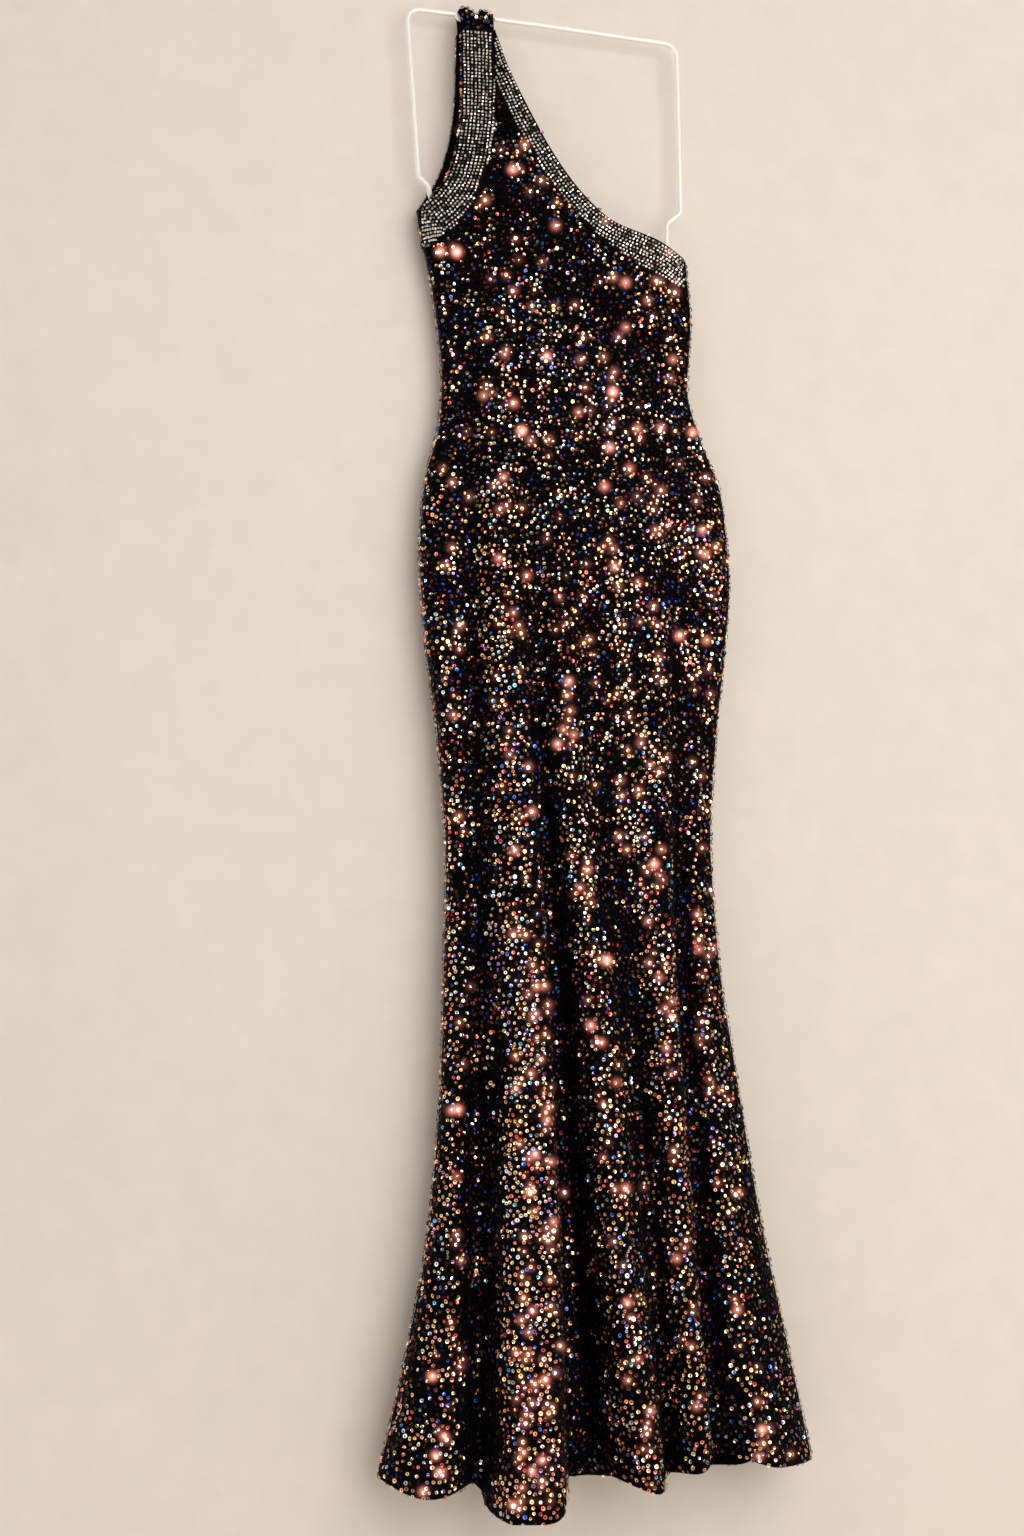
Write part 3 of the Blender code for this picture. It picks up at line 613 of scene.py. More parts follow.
def speckle_group():
    """A value that varies finely between two limits, with a broader drift over it."""
    group, tree, given, result = new_group(
        "ShaderNodeTree", "fine_speckle",
        {"Place": (VECTOR, None), "Grain": (FLOAT, 0.002), "Low": (FLOAT, 0.2), "High": (FLOAT, 0.4)},
        {"Value": FLOAT, "Drift": FLOAT})
    scale = tree.math("DIVIDE", 1.0, given["Grain"])
    fine = tree.noise(given["Place"], scale, detail=4.0)
    broad = tree.noise(given["Place"], tree.times(scale, BROAD_SPECKLE), detail=2.0)
    both = tree.add(tree.times(fine, SPECKLE_SHARES[0]), tree.times(broad, SPECKLE_SHARES[1]))
    share = tree.remap(both, *SPECKLE_RANGE, 0.0, 1.0)
    spread = tree.less(given["High"], given["Low"])
    tree.feed(result["Value"], tree.add(given["Low"], tree.times(share, spread)))
    tree.feed(result["Drift"], broad)
    return group


def new_material(name, values):
    """Material with these inputs of its shader set, with its tree and its shader."""
    material = bpy.data.materials.new(name)
    material.use_nodes = True
    tree = Tree(material.node_tree)
    shader = material.node_tree.nodes["Principled BSDF"]
    for title, value in values.items():
        tree.feed(shader.inputs[title], value)
    return material, tree, shader


def speckled(tree, speckle, grain, low, high):
    """The speckle over a piece: its value and its drift."""
    place = tree.node("ShaderNodeTexCoord").outputs["Object"]
    return tree.group(speckle, {"Place": place, "Grain": grain, "Low": low, "High": high})


def add_bump(tree, shader, height, distance, strength):
    bump = tree.node("ShaderNodeBump", {"Height": height, "Distance": distance, "Strength": strength})
    tree.feed(shader.inputs["Normal"], bump.outputs[0])


def knit_material(name, relief, dark, light, thread, roughness, sheen, weave):
    """Cloth whose threads follow its UV map."""
    material, tree, shader = new_material(name, {
        "Roughness": roughness, "Specular IOR Level": 0.02,
        "Sheen Weight": sheen, "Sheen Roughness": 0.4})
    place = tree.node("ShaderNodeUVMap", uv_map="cloth").outputs[0]
    threads = tree.group(weave, {"Place": place, "Thread": thread, "Unevenness": 0.5})
    # The cloth's colour is painted darker between the threads and lighter on their tops, as painted
    # shade and light, over a tone that varies at random.
    tree.feed(shader.inputs["Base Color"], tree.mix(threads["Shade"], (*dark, 1.0), (*light, 1.0)))
    add_bump(tree, shader, threads["Height"], relief, strength=0.7)
    return material


def sequin_material(roughness, speckle):
    """Thin metallic film: most discs are nearly black, the others bright in warm or cold colours. Their
    colour is mixed between the two by each sequin's own tone and by painted light and shade along the
    folds.
    """
    material, tree, shader = new_material("sequin_foil", {"Metallic": 1.0})
    tint, gloss = (tree.node("ShaderNodeAttribute", attribute_name=name).outputs["Fac"]
                   for name in ("tint", "gloss"))
    film = tree.ramp(tint, SEQUIN_TINTS, "CONSTANT")
    dim = tree.ramp(tree.math("FRACT", tree.times(tint, DIM_TINT_TURNS)), DIM_TINTS, "CONSTANT")
    tree.feed(shader.inputs["Base Color"], tree.mix(gloss, dim, film))
    polish = tree.remap(tree.math("FRACT", tree.times(tint, POLISH_TURNS)), 0.0, 1.0, *POLISH_RANGE)
    rough = speckled(tree, speckle, FILM_GRAIN, roughness - FILM_SPECKLE, roughness + FILM_SPECKLE)
    tree.feed(shader.inputs["Roughness"], tree.add(rough["Value"], polish))
    return material


def stone_material(speckle):
    """Foil-backed cut stones: silver with a few warmer and darker ones."""
    material, tree, shader = new_material("stone_foil", {
        "Metallic": 0.7, "Coat Weight": 0.5, "Coat Roughness": 0.03})
    shade = tree.node("ShaderNodeAttribute", attribute_name="tint").outputs["Fac"]
    tree.feed(shader.inputs["Base Color"], tree.ramp(shade, STONE_TINTS))
    rough = speckled(tree, speckle, grain=0.0015, low=0.16, high=0.36)
    tree.feed(shader.inputs["Roughness"], rough["Value"])
    return material


def coating_material(colour, speckle):
    """White plastic coat on the wire, a little yellowed and scuffed."""
    material, tree, shader = new_material("white_coating", {"Coat Weight": 0.25})
    wear = speckled(tree, speckle, grain=0.004, low=0.28, high=0.46)
    yellowed = [c * k for c, k in zip(colour, YELLOWING)]
    tree.feed(shader.inputs["Base Color"], tree.mix(wear["Drift"], (*colour, 1.0), (*yellowed, 1.0)))
    tree.feed(shader.inputs["Roughness"], wear["Value"])
    add_bump(tree, shader, wear["Value"], distance=0.0002, strength=0.4)
    return material


def plaster_material(name, colour, one_sided, speckle):
    """Painted plaster. A one-sided wall can't be seen from behind."""
    material, tree, shader = new_material(name, {"Roughness": 0.85, "Specular IOR Level": 0.2})
    grain = speckled(tree, speckle, grain=0.03, low=0.0, high=1.0)["Value"]
    shaded = [c * PLASTER_SHADE for c in colour]
    tree.feed(shader.inputs["Base Color"], tree.mix(grain, (*shaded, 1.0), (*colour, 1.0)))
    add_bump(tree, shader, grain, distance=0.0006, strength=0.3)
    if one_sided:
        behind = tree.node("ShaderNodeNewGeometry").outputs["Backfacing"]
        clear = tree.node("ShaderNodeBsdfTransparent").outputs[0]
        choice = tree.node("ShaderNodeMixShader", {0: behind, 1: shader.outputs[0], 2: clear})
        tree.feed(material.node_tree.nodes["Material Output"].inputs["Surface"], choice.outputs[0])
    return material


YELLOWING = (0.94, 0.91, 0.85)
PLASTER_SHADE = 0.95      # how dark the darkest grain of the plaster is
DIM_TINT_TURNS = 13.7     # a sequin's tint times these, without the whole part, picks its dim colour
POLISH_TURNS = 29.3       # and its polish
POLISH_RANGE = (-0.16, 0.10)
FILM_GRAIN = 0.0012
FILM_SPECKLE = 0.05       # how much the roughness of one sequin varies, up and down
# Colours of the sequins' film by share, for those that catch the light and for the dim ones.
SEQUIN_TINTS = [
    (0.00, (1.00, 0.70, 0.30)), (0.11, (1.00, 0.48, 0.19)), (0.20, (1.00, 0.32, 0.18)),
    (0.31, (1.00, 0.84, 0.42)), (0.37, (0.82, 0.13, 0.10)), (0.45, (0.95, 0.38, 0.46)),
    (0.54, (0.10, 0.18, 0.75)), (0.61, (0.18, 0.50, 0.85)), (0.68, (0.38, 0.20, 0.62)),
    (0.74, (1.00, 0.88, 0.76)), (0.86, (1.00, 0.56, 0.34)), (0.94, (0.70, 0.84, 1.00)),
]
DIM_TINTS = [
    (0.00, (0.004, 0.003, 0.003)), (0.30, (0.006, 0.016, 0.070)), (0.46, (0.055, 0.007, 0.005)),
    (0.66, (0.026, 0.006, 0.036)), (0.78, (0.018, 0.028, 0.036)), (0.86, (0.060, 0.024, 0.008)),
]
STONE_TINTS = [
    (0.0, (0.02, 0.018, 0.016)), (0.14, (0.20, 0.18, 0.15)), (0.30, (0.84, 0.80, 0.74)),
    (0.86, (0.98, 0.96, 0.92)), (0.93, (0.92, 0.70, 0.42)), (1.0, (0.80, 0.50, 0.46)),
]


# ---------------------------------------------------------------- Geometry Nodes
SEQUIN_DENSITY = 90000.0           # most sequins in a square metre, before their spacing
SEQUIN_LIFTS = (0.75, 2.2)         # least and most of the lift
SEQUIN_LARGEST = 1.06
HUE_SCALE, HUE_SPREAD = 55.0, 0.6  # size of the patches that share a colour, and the spread in one
PATCH_SCALE = 48.0                 # size of the patches of bright and dim sequins
PATCH_SHAPE = (1.0, 1.0, 0.45)     # they are longer up and down
TONE_AND_PAINTED_LIGHT_RANGE = (0.38, 0.72)         # from a dim sequin to a bright one, painted light and shade included
STONE_LEAST_HEIGHT = 0.8
STONE_LARGEST = (1.12, 1.0, 1.1)
SHAPE_INPUTS = {"Geometry": (GEOMETRY, None), "Shape": (OBJECT, None), "Material": (MATERIAL, None)}


def random_value(tree, kind, low, high, seed):
    made = tree.node("FunctionNodeRandomValue", data_type=kind)
    live = [s for s in made.inputs if s.enabled]
    tree.feed(live[0], low)
    tree.feed(live[1], high)
    tree.feed(made.inputs["Seed"], seed)
    return next(s for s in made.outputs if s.enabled)


def place_instances(tree, given, result, points, rotation, scale):
    """Ends a tree: the shape on the points, made real, with its material."""
    shape = tree.node("GeometryNodeObjectInfo", {"Object": given["Shape"]}).outputs["Geometry"]
    on_points = tree.node("GeometryNodeInstanceOnPoints", {"Points": points, "Instance": shape,
                                                           "Rotation": rotation, "Scale": scale})
    real = tree.node("GeometryNodeRealizeInstances", {0: on_points.outputs[0]})
    painted = tree.node("GeometryNodeSetMaterial", {"Geometry": real.outputs[0],
                                                    "Material": given["Material"]})
    tree.feed(result[0], painted.outputs[0])


def store(tree, geometry, name, value):
    made = tree.node("GeometryNodeStoreNamedAttribute", {"Geometry": geometry, "Name": name},
                     data_type="FLOAT", domain="POINT")
    tree.feed(next(s for s in made.inputs if s.name == "Value" and s.enabled), value)
    return made.outputs[0]


def read(tree, name, kind="FLOAT"):
    return tree.node("GeometryNodeInputNamedAttribute", {"Name": name}, data_type=kind).outputs[0]


def turned_at_random(tree, rotation, most, seed):
    """A rotation with a turn of up to this much, either way, about each axis."""
    by = random_value(tree, "FLOAT_VECTOR", tree.scaled(most, -1.0), most, seed)
    return tree.node("FunctionNodeRotateRotation", {"Rotation": rotation, "Rotate By": by},
                     rotation_space="LOCAL").outputs[0]


def sequin_tree():
    """Sequins scattered evenly over a sheet, each turned and tilted a little."""
    group, tree, given, result = new_group("GeometryNodeTree", "sewn_sequins", {
        **SHAPE_INPUTS, "Spacing": (FLOAT, 0.0052), "Lift": (FLOAT, 0.0006), "Tilt": (FLOAT, 0.35),
        "Size Spread": (FLOAT, 0.28), "Clumps": (FLOAT, 2.2), "Hue Clumps": (FLOAT, 1.6),
        "Contrast": (FLOAT, 1.0), "Top": (FLOAT, 1.0), "Bottom": (FLOAT, -3.0), "Seed": (INTEGER, 1)},
        {"Geometry": GEOMETRY})
    place = tree.node("GeometryNodeInputPosition").outputs[0]
    height = tree.node("ShaderNodeSeparateXYZ", {0: place}).outputs[2]
    scatter = tree.node("GeometryNodeDistributePointsOnFaces",
                        {"Mesh": given["Geometry"], "Distance Min": given["Spacing"],
                         "Density Max": SEQUIN_DENSITY, "Density Factor": read(tree, "bare"),
                         "Seed": given["Seed"]}, distribute_method="POISSON").outputs
    above, below = (tree.node("FunctionNodeCompare", {0: height, 1: given[end]}, data_type="FLOAT",
                              operation=test).outputs[0]
                    for end, test in (("Top", "GREATER_THAN"), ("Bottom", "LESS_EQUAL")))
    outside = tree.node("FunctionNodeBooleanMath", {0: above, 1: below}, operation="OR").outputs[0]
    kept = tree.node("GeometryNodeDeleteGeometry",
                     {"Geometry": scatter["Points"], "Selection": outside}, domain="POINT").outputs[0]
    lift = tree.times(given["Lift"], random_value(tree, "FLOAT", *SEQUIN_LIFTS, seed=113))
    lifted = tree.node("GeometryNodeSetPosition",
                       {"Geometry": kept, "Offset": tree.scaled(scatter["Normal"], lift)}).outputs[0]
    hue = tree.add(tree.times(tree.noise(place, HUE_SCALE, detail=1.0), given["Hue Clumps"]),
                   random_value(tree, "FLOAT", 0.0, HUE_SPREAD, given["Seed"]))
    tinted = store(tree, lifted, "tint", tree.math("FRACT", hue))
    long_way = tree.node("ShaderNodeVectorMath", {0: place, 1: PATCH_SHAPE},
                         operation="MULTIPLY").outputs[0]
    patch = tree.noise(long_way, PATCH_SCALE, detail=2.0)
    patch = tree.times(tree.less(patch, 0.5), given["Clumps"])
    # Painted light and shade from the folds: sequins on ridges get a brighter colour, those in valleys a
    # darker one. The random and patch terms are each sequin's own tone.
    fold = tree.times(tree.less(read(tree, "shine"), 0.5), given["Contrast"])
    level = tree.add(tree.add(random_value(tree, "FLOAT", 0.0, 1.0, seed=57), patch), fold)
    with_painted_light = store(tree, tinted, "gloss", tree.remap(level, *TONE_AND_PAINTED_LIGHT_RANGE, 0.0, 1.0))
    most = tree.combine(given["Tilt"], given["Tilt"], math.pi)
    tilted = turned_at_random(tree, scatter["Rotation"], most, seed=91)
    small = tree.less(1.0, given["Size Spread"])
    size = random_value(tree, "FLOAT", small, SEQUIN_LARGEST, seed=23)
    place_instances(tree, given, result, with_painted_light, tilted, size)
    return group


def stone_tree():
    """Stones on given points, each along its row and square to the cloth."""
    group, tree, given, result = new_group("GeometryNodeTree", "set_stones", {
        **SHAPE_INPUTS, "Tilt": (FLOAT, 0.20), "Size Spread": (FLOAT, 0.30), "Seed": (INTEGER, 1)},
        {"Geometry": GEOMETRY})
    ways = {"Primary Axis": read(tree, "out_way", "FLOAT_VECTOR"),
            "Secondary Axis": read(tree, "row_way", "FLOAT_VECTOR")}
    square = tree.node("FunctionNodeAxesToRotation", ways,
                       primary_axis="Z", secondary_axis="X").outputs[0]
    points = tree.node("GeometryNodeMeshToPoints", {"Mesh": given["Geometry"]}).outputs[0]
    tinted = store(tree, points, "tint", random_value(tree, "FLOAT", 0.0, 1.0, given["Seed"]))
    tilted = turned_at_random(tree, square, tree.combine(*[given["Tilt"]] * 3), seed=31)
    small = tree.less(1.0, given["Size Spread"])
    size = random_value(tree, "FLOAT_VECTOR", tree.combine(small, small, STONE_LEAST_HEIGHT),
                        STONE_LARGEST, seed=47)
    place_instances(tree, given, result, tinted, tilted, size)
    return group


def run_tree(name, source, group, inputs):
    """Runs a node tree on a copy of the source and keeps the result as a plain mesh."""
    carrier = in_scene(source.copy())
    for modifier in list(carrier.modifiers):
        carrier.modifiers.remove(modifier)
    modifier = carrier.modifiers.new("shapes", "NODES")
    modifier.node_group = group
    for item in group.interface.items_tree:
        if item.item_type == "SOCKET" and item.in_out == "INPUT" and item.name in inputs:
            modifier[item.identifier] = inputs[item.name]
    mesh = final_mesh(carrier)
    mesh.name = name
    discard(carrier)
    for spare in [a.name for a in mesh.attributes if a.name in SPARE_FIELDS]:
        mesh.attributes.remove(mesh.attributes[spare])
    if not mesh.polygons:
        raise RuntimeError(f"{name} came out empty")
    return new_object(name, mesh)


# ---------------------------------------------------------------- small shapes
STONE_CORNER = 0.62       # where a stone's corners are cut, as a share of half its side
STONE_RINGS = ((0.90, 0.0), (1.0, 0.35), (0.58, 1.0))   # breadth and height of each ring


def ring_points(radius, height, count):
    angles = [2 * math.pi * k / count for k in range(count)]
    return [(radius * math.cos(a), radius * math.sin(a), height) for a in angles]


def cup_sequin(settings):
    """A cupped disc with a hole: the hole lies low, next to the cloth, and the rim stands up."""
    shape = bmesh.new()
    hole = [shape.verts.new(p) for p in ring_points(settings.hole, 0.0, settings.sides)]
    rim = [shape.verts.new(p) for p in ring_points(settings.radius, settings.cup, settings.sides)]
    for k in range(settings.sides):
        j = (k + 1) % settings.sides
        shape.faces.new((hole[k], rim[k], rim[j], hole[j]))
    return small_shape("sequin_shape", shape)


def cut_stone(settings):
    """A square stone with cut corners: a low girdle, a slanted crown and a flat table."""
    shape = bmesh.new()
    half = settings.size / 2
    rings = []
    for scale, height in STONE_RINGS:
        outline = []
        for sx, sy in ((1, 1), (-1, 1), (-1, -1), (1, -1)):
            near, far = (sx * half, sy * half * STONE_CORNER), (sx * half * STONE_CORNER, sy * half)
            outline += [near, far] if sx == sy else [far, near]
        up = height * settings.height
        rings.append([shape.verts.new((x * scale, y * scale, up)) for x, y in outline])
    for lower, upper in zip(rings, rings[1:]):
        for k in range(8):
            j = (k + 1) % 8
            shape.faces.new((lower[k], lower[j], upper[j], upper[k]))
    shape.faces.new(rings[0][::-1])
    shape.faces.new(rings[-1])
    return small_shape("stone_shape", shape, smooth=False)


def small_shape(name, shape, smooth=True):
    mesh = bpy.data.meshes.new(name)
    shape.to_mesh(mesh)
    shape.free()
    if smooth:
        mesh.shade_smooth()
    return bpy.data.objects.new(name, mesh)


# ---------------------------------------------------------------- settings
def length(title, text, default, high=1.0):
    return FloatProperty(name=title, description=text, default=default, min=0.0, max=high,
                         subtype="DISTANCE", unit="LENGTH", precision=5)


def number(title, text, default, **limits):
    return FloatProperty(name=title, description=text, default=default, **limits)


def count(title, text, default, least=0):
    return IntProperty(name=title, description=text, default=default, min=least)


def colour(title, text, default):
    return FloatVectorProperty(name=title, description=text, default=default, size=3, min=0.0, max=1.0,
                               subtype="COLOR")


class ClothSettings(bpy.types.PropertyGroup):
    wall: length("Wall", "Thickness of the knit", 0.0008)
    thread: length("Thread", "Distance from one thread of the knit to the next", 0.0011)
    weave_relief: length("Weave relief", "Height of the threads", 0.00025)
    hem_turn: length("Hem turn", "Length of the hem that is turned inwards", 0.018)
    bodice_rows: count("Bodice rows", "Rows of the grid above the side seams", 64, 8)
    skirt_rows: count("Skirt rows", "Rows of the grid below them", 290, 20)
    fineness: number("Fineness", "Columns of the grid for one of the solid's", 2.0, min=0.5)
    dark: colour("Dark thread", "Colour between the threads", (0.0004, 0.0004, 0.0005))
    light: colour("Light thread", "Colour on the threads", (0.0024, 0.0020, 0.0024))


class SequinSettings(bpy.types.PropertyGroup):
    radius: length("Radius", "Outer radius of a sequin", 0.00205)
    hole: length("Hole", "Radius of its hole", 0.00085)
    cup: length("Cup", "How far its rim stands above its hole", 0.00028)
    spacing: length("Spacing", "Least distance between two sequins", 0.0041)
    lift: length("Lift", "How far it is held off the cloth", 0.0008)
    sides: count("Sides", "Sides of a sequin", 7, 5)
    tilt: number("Tilt", "Most that a sequin leans", math.radians(24), subtype="ANGLE", unit="ROTATION")
    clumps: number("Clumps", "How much bright sequins stand together", 2.2)
    hue_clumps: number("Hue clumps", "How much neighbours share a colour", 1.6)
    # strength of the painted shade in the valleys and the painted light on the ridges, in the sequins'
    # colour
    contrast: number("Contrast", "How much darker the valleys are", 0.8)
    roughness: number("Roughness", "Roughness of the film", 0.30, min=0.1, max=0.9, subtype="FACTOR")
    seed: count("Seed", "Order of the scatter", 7)


class StoneSettings(bpy.types.PropertyGroup):
    size: length("Size", "Side of a stone", 0.0026)
    height: length("Height", "Height of a stone", 0.0014)
    pitch: length("Pitch", "Distance between stones in a row", 0.0040)
    row_pitch: length("Row pitch", "Distance between two rows", 0.0040)
    margin: length("Margin", "From the band's edge to its first row", 0.0019)
    stray: length("Stray", "How far the stones stray from their rows", 0.00020)
    net_lift: length("Net lift", "How far the net lies off the cloth", 0.0002)
    net_wall: length("Net wall", "Thickness of the net", 0.0009)
    seed: count("Seed", "Order of the shades", 3)


class WireSettings(bpy.types.PropertyGroup):
    radius: length("Radius", "Radius of the coated wire", 0.00255)
    steps: count("Steps", "Straight pieces in each bend", 10, 2)
    colour: colour("Colour", "Colour of the coating", (0.93, 0.92, 0.90))


class StageSettings(bpy.types.PropertyGroup):
    wall_place: length("Wall place", "How far the wall stands behind the bar", 0.0195)
    floor_drop: length("Floor drop", "How far the floor lies below the bar", 1.62, high=5.0)
    wall_colour: colour("Wall colour", "Colour of the painted wall", (0.76, 0.70, 0.63))
    floor_colour: colour("Floor colour", "Colour of the floor", (0.74, 0.68, 0.60))
    window_power: number("Window power", "Power of the main soft light", 41.0, min=0.0, unit="POWER")
    glint_power: number("Glint power", "Power of the light that only shiny things see", 44.0, min=0.0,
                        unit="POWER")
    glow: number("Glow", "Stops by which the glow round the hottest glints is raised", 3.6)
    room_light: number("Room light", "Strength of the light from all round", 0.66, min=0.0)


# ---------------------------------------------------------------- making the gown
SKIRT_SPLIT = -0.78       # height where the upper sequins end and the lower ones begin
EVERYWHERE = (1.0, -3.0)  # heights above and below the whole gown
BAND_OUTWARDS = 0.012     # the sequins stop this far outside a stone band
BAND_INWARDS = 0.0012     # and this far past its inner edge
SEAM_SEQUINS = 0.5        # share of the sequins that are left on a panel's outermost cloth
HEM_EDGE = ((0.0010, -0.0009), (0.0022, -0.0003))   # in and up, for each row round the hem's edge
HEM_INWARD = 0.0027       # how far the turned hem lies inside the cloth
HEM_ROWS_START = 0.0030   # height of its lowest row above the edge
HEM_MIDDLE_ROW = 0.6      # and of its middle row, as a share of its length
OUTLINE_STEPS = 60        # corners along each edge of a band's outline
BAND_STEPS, BAND_COLUMNS = 150, 12
# Painted light for the strap's sequins: under the neutral 0.5, so their colour is painted a little
# darker
STRAP_PAINTED_LIGHT = 0.42
# Painted light on the sequins: how far a ridge stands above the cloth round it, over these steps across,
# lifts or lowers their colour
PAINTED_LIGHT_STEPS = (-0.030, -0.020, -0.010, 0.010, 0.020, 0.030)
PAINTED_LIGHT_GAIN = 42.0         # from the height of a ridge over its surroundings, in metres, to its painted light
# the darkest painted shade on the sequins' colour
DEEPEST_PAINTED_SHADE = -0.6
# Spots of the front where painted shade darkens the sequins' colour: depth is how much darker they are.
# A spot with a minus sign is painted light and makes them brighter.
PAINTED_SHADE_AND_LIGHT_SPOTS = [
    Dent(-0.054, 0.106, 0.022, 0.036, 0.50, 1.10), Dent(-0.040, 0.195, 0.026, 0.055, 0.45, 0.55),
    Dent(-0.020, 0.290, 0.050, 0.040, 0.20, 0.16), Dent(0.085, 0.370, 0.034, 0.048, 0.40, 0.24),
    Dent(-0.105, 0.245, 0.026, 0.030, 0.00, 0.35), Dent(-0.075, 0.300, 0.018, 0.045, 0.00, 0.20),
    Dent(0.012, 0.268, 0.030, 0.036, 0.40, 0.45), Dent(0.066, 0.350, 0.024, 0.040, 0.50, 0.45),
    Dent(0.110, 0.410, 0.016, 0.040, 0.50, 0.25), Dent(-0.115, 0.660, 0.014, 0.120, 0.05, 0.20),
    Dent(0.120, 0.480, 0.018, 0.040, 0.30, 0.25), Dent(-0.074, 0.660, 0.010, 0.180, -0.04, -0.35),
    Dent(-0.056, 0.440, 0.012, 0.050, 0.00, -0.25), Dent(0.076, 0.916, 0.014, 0.060, 0.00, 0.35),
    Dent(-0.054, 1.150, 0.014, 0.120, -0.05, 0.15), Dent(0.050, 1.310, 0.012, 0.080, 0.06, -0.35),
    Dent(0.080, 1.440, 0.020, 0.045, 0.10, -0.35), Dent(0.150, 1.410, 0.016, 0.060, 0.10, 0.40),
    Dent(0.150, 1.320, 0.030, 0.100, 0.15, 0.22), Dent(-0.146, 1.180, 0.014, 0.080, -0.10, 0.25),
    Dent(-0.141, 0.690, 0.014, 0.080, 0.05, 0.20),
]
built = {}


def materials(scene):
    """Every material of the gown, built once."""
    if not built:
        weave, speckle = thread_weave_group(), speckle_group()
        cloth = scene.gown_cloth
        for name, dark, light, thread, roughness, sheen in (
                ("knit", cloth.dark, cloth.light, cloth.thread, 0.8, 0.02),
                ("lining", (0.0015, 0.0015, 0.0018), (0.006, 0.006, 0.007), 0.0006, 0.5, 0.03),
                ("net", (0.001, 0.001, 0.001), (0.006, 0.0055, 0.0055), 0.0016, 0.7, 0.02)):
            built[name] = knit_material("black_" + name, cloth.weave_relief, dark, light, thread,
                                        roughness, sheen, weave)
        built["sequin"] = sequin_material(scene.gown_sequins.roughness, speckle)
        built["stone"] = stone_material(speckle)
        built["coating"] = coating_material(scene.gown_wire.colour, speckle)
        built["speckle"] = speckle
    return built


def band_outline(band, outwards, inwards):
    """Outline of a band in x and drop, grown past its outer and its inner edge."""
    rows = along(band, np.linspace(0.0, 1.0, OUTLINE_STEPS))
    outer, inner = rows[:, :2], rows[:, 2:]
    way = unit(inner - outer)
    return np.concatenate([outer - way * outwards, (inner + way * inwards)[::-1]])


def inside_outline(outline, x, drop):
    """Whether points lie inside a closed outline."""
    inside = np.zeros(x.shape, bool)
    for (x0, d0), (x1, d1) in zip(outline, np.roll(outline, -1, axis=0)):
        crosses = (d0 > drop) != (d1 > drop)
        at = x0 + (drop - d0) * (x1 - x0) / (d1 - d0 if d1 != d0 else 1.0)
        inside ^= crosses & (x < at)
    return inside


def side_painted_light(side, x, drop):
    """Painted light and shade for the sequins' colour: lighter on ridges, darker in valleys and in the
    painted shade spots.
    """
    rise = side.fold_rise(x, drop)
    around = sum(side.fold_rise(x + step, drop) for step in PAINTED_LIGHT_STEPS) / len(PAINTED_LIGHT_STEPS)
    shine = np.clip(0.5 + (rise - around) * PAINTED_LIGHT_GAIN, 0.0, 1.0)
    if side is FRONT:
        shine -= dent_total(PAINTED_SHADE_AND_LIGHT_SPOTS, x, drop)
    return np.maximum(shine, DEEPEST_PAINTED_SHADE)


def above_hem(points, height):
    """Points of a grid this far above its last row, up each column."""
    rows_up = height / np.linalg.norm(points[-1] - points[-2], axis=-1).mean()
    k = int(rows_up)
    share = rows_up - k
    return points[-1 - k] * (1.0 - share) + points[-2 - k] * share


def turned_hem(points, facing, turn):
    """Rows that go round the hem's edge and up inside the cloth."""
    hem = points[-1]
    out_way = unit(np.cross(np.gradient(hem, axis=0), (0.0, 0.0, 1.0)))
    out_way *= np.where((out_way[:, 1:2] * facing).sum() > 0, 1.0, -1.0)
    edge = [hem - out_way * inward + np.array((0.0, 0.0, up)) for inward, up in HEM_EDGE]
    heights = (HEM_ROWS_START, turn * HEM_MIDDLE_ROW, turn)
    inside = [above_hem(points, up) - out_way * HEM_INWARD for up in heights]
    return np.stack(edge + inside)


def panel_piece(name, side, node, scene):
    """One panel of the gown, and the area of its cloth."""
    cloth, found = scene.gown_cloth, materials(scene)
    points, x, drop = side.grid(cloth.bodice_rows, cloth.skirt_rows, cloth.fineness)
    bare = np.ones(x.shape)
    if side is FRONT:
        for band in (ARMHOLE_BAND, NECKLINE_BAND):
            bare[inside_outline(band_outline(band, BAND_OUTWARDS, BAND_INWARDS), x, drop)] = 0.0
    bare[:, [0, -1]] = SEAM_SEQUINS
    hem = turned_hem(points, side.facing, cloth.hem_turn)
    whole = np.concatenate([points, hem])
    fields = {field: np.concatenate([values, np.zeros(hem.shape[:2])])
              for field, values in (("bare", bare), ("shine", side_painted_light(side, x, drop)))}
    piece = sheet_object(name, whole, side.facing > 0, [found["knit"], found["lining"]], fields)
    add_wall(piece, cloth.wall, True)
    finish_piece(piece, "sequin_cloth", node)
    return piece, sheet_area(whole)


class GOWN_OT_panels(bpy.types.Operator):
    """Make the front and the back of the gown"""
    bl_idname = "gown.panels"
    bl_label = "Front and Back"

    def execute(self, context):
        for name, side, node, flat in (("front_cloth", FRONT, "front_panel", (0.71, 1.50)),
                                       ("back_cloth", BACK, "back_panel", (0.49, 1.50))):
            piece, area = panel_piece(name, side, node, context.scene)
        return {"FINISHED"}


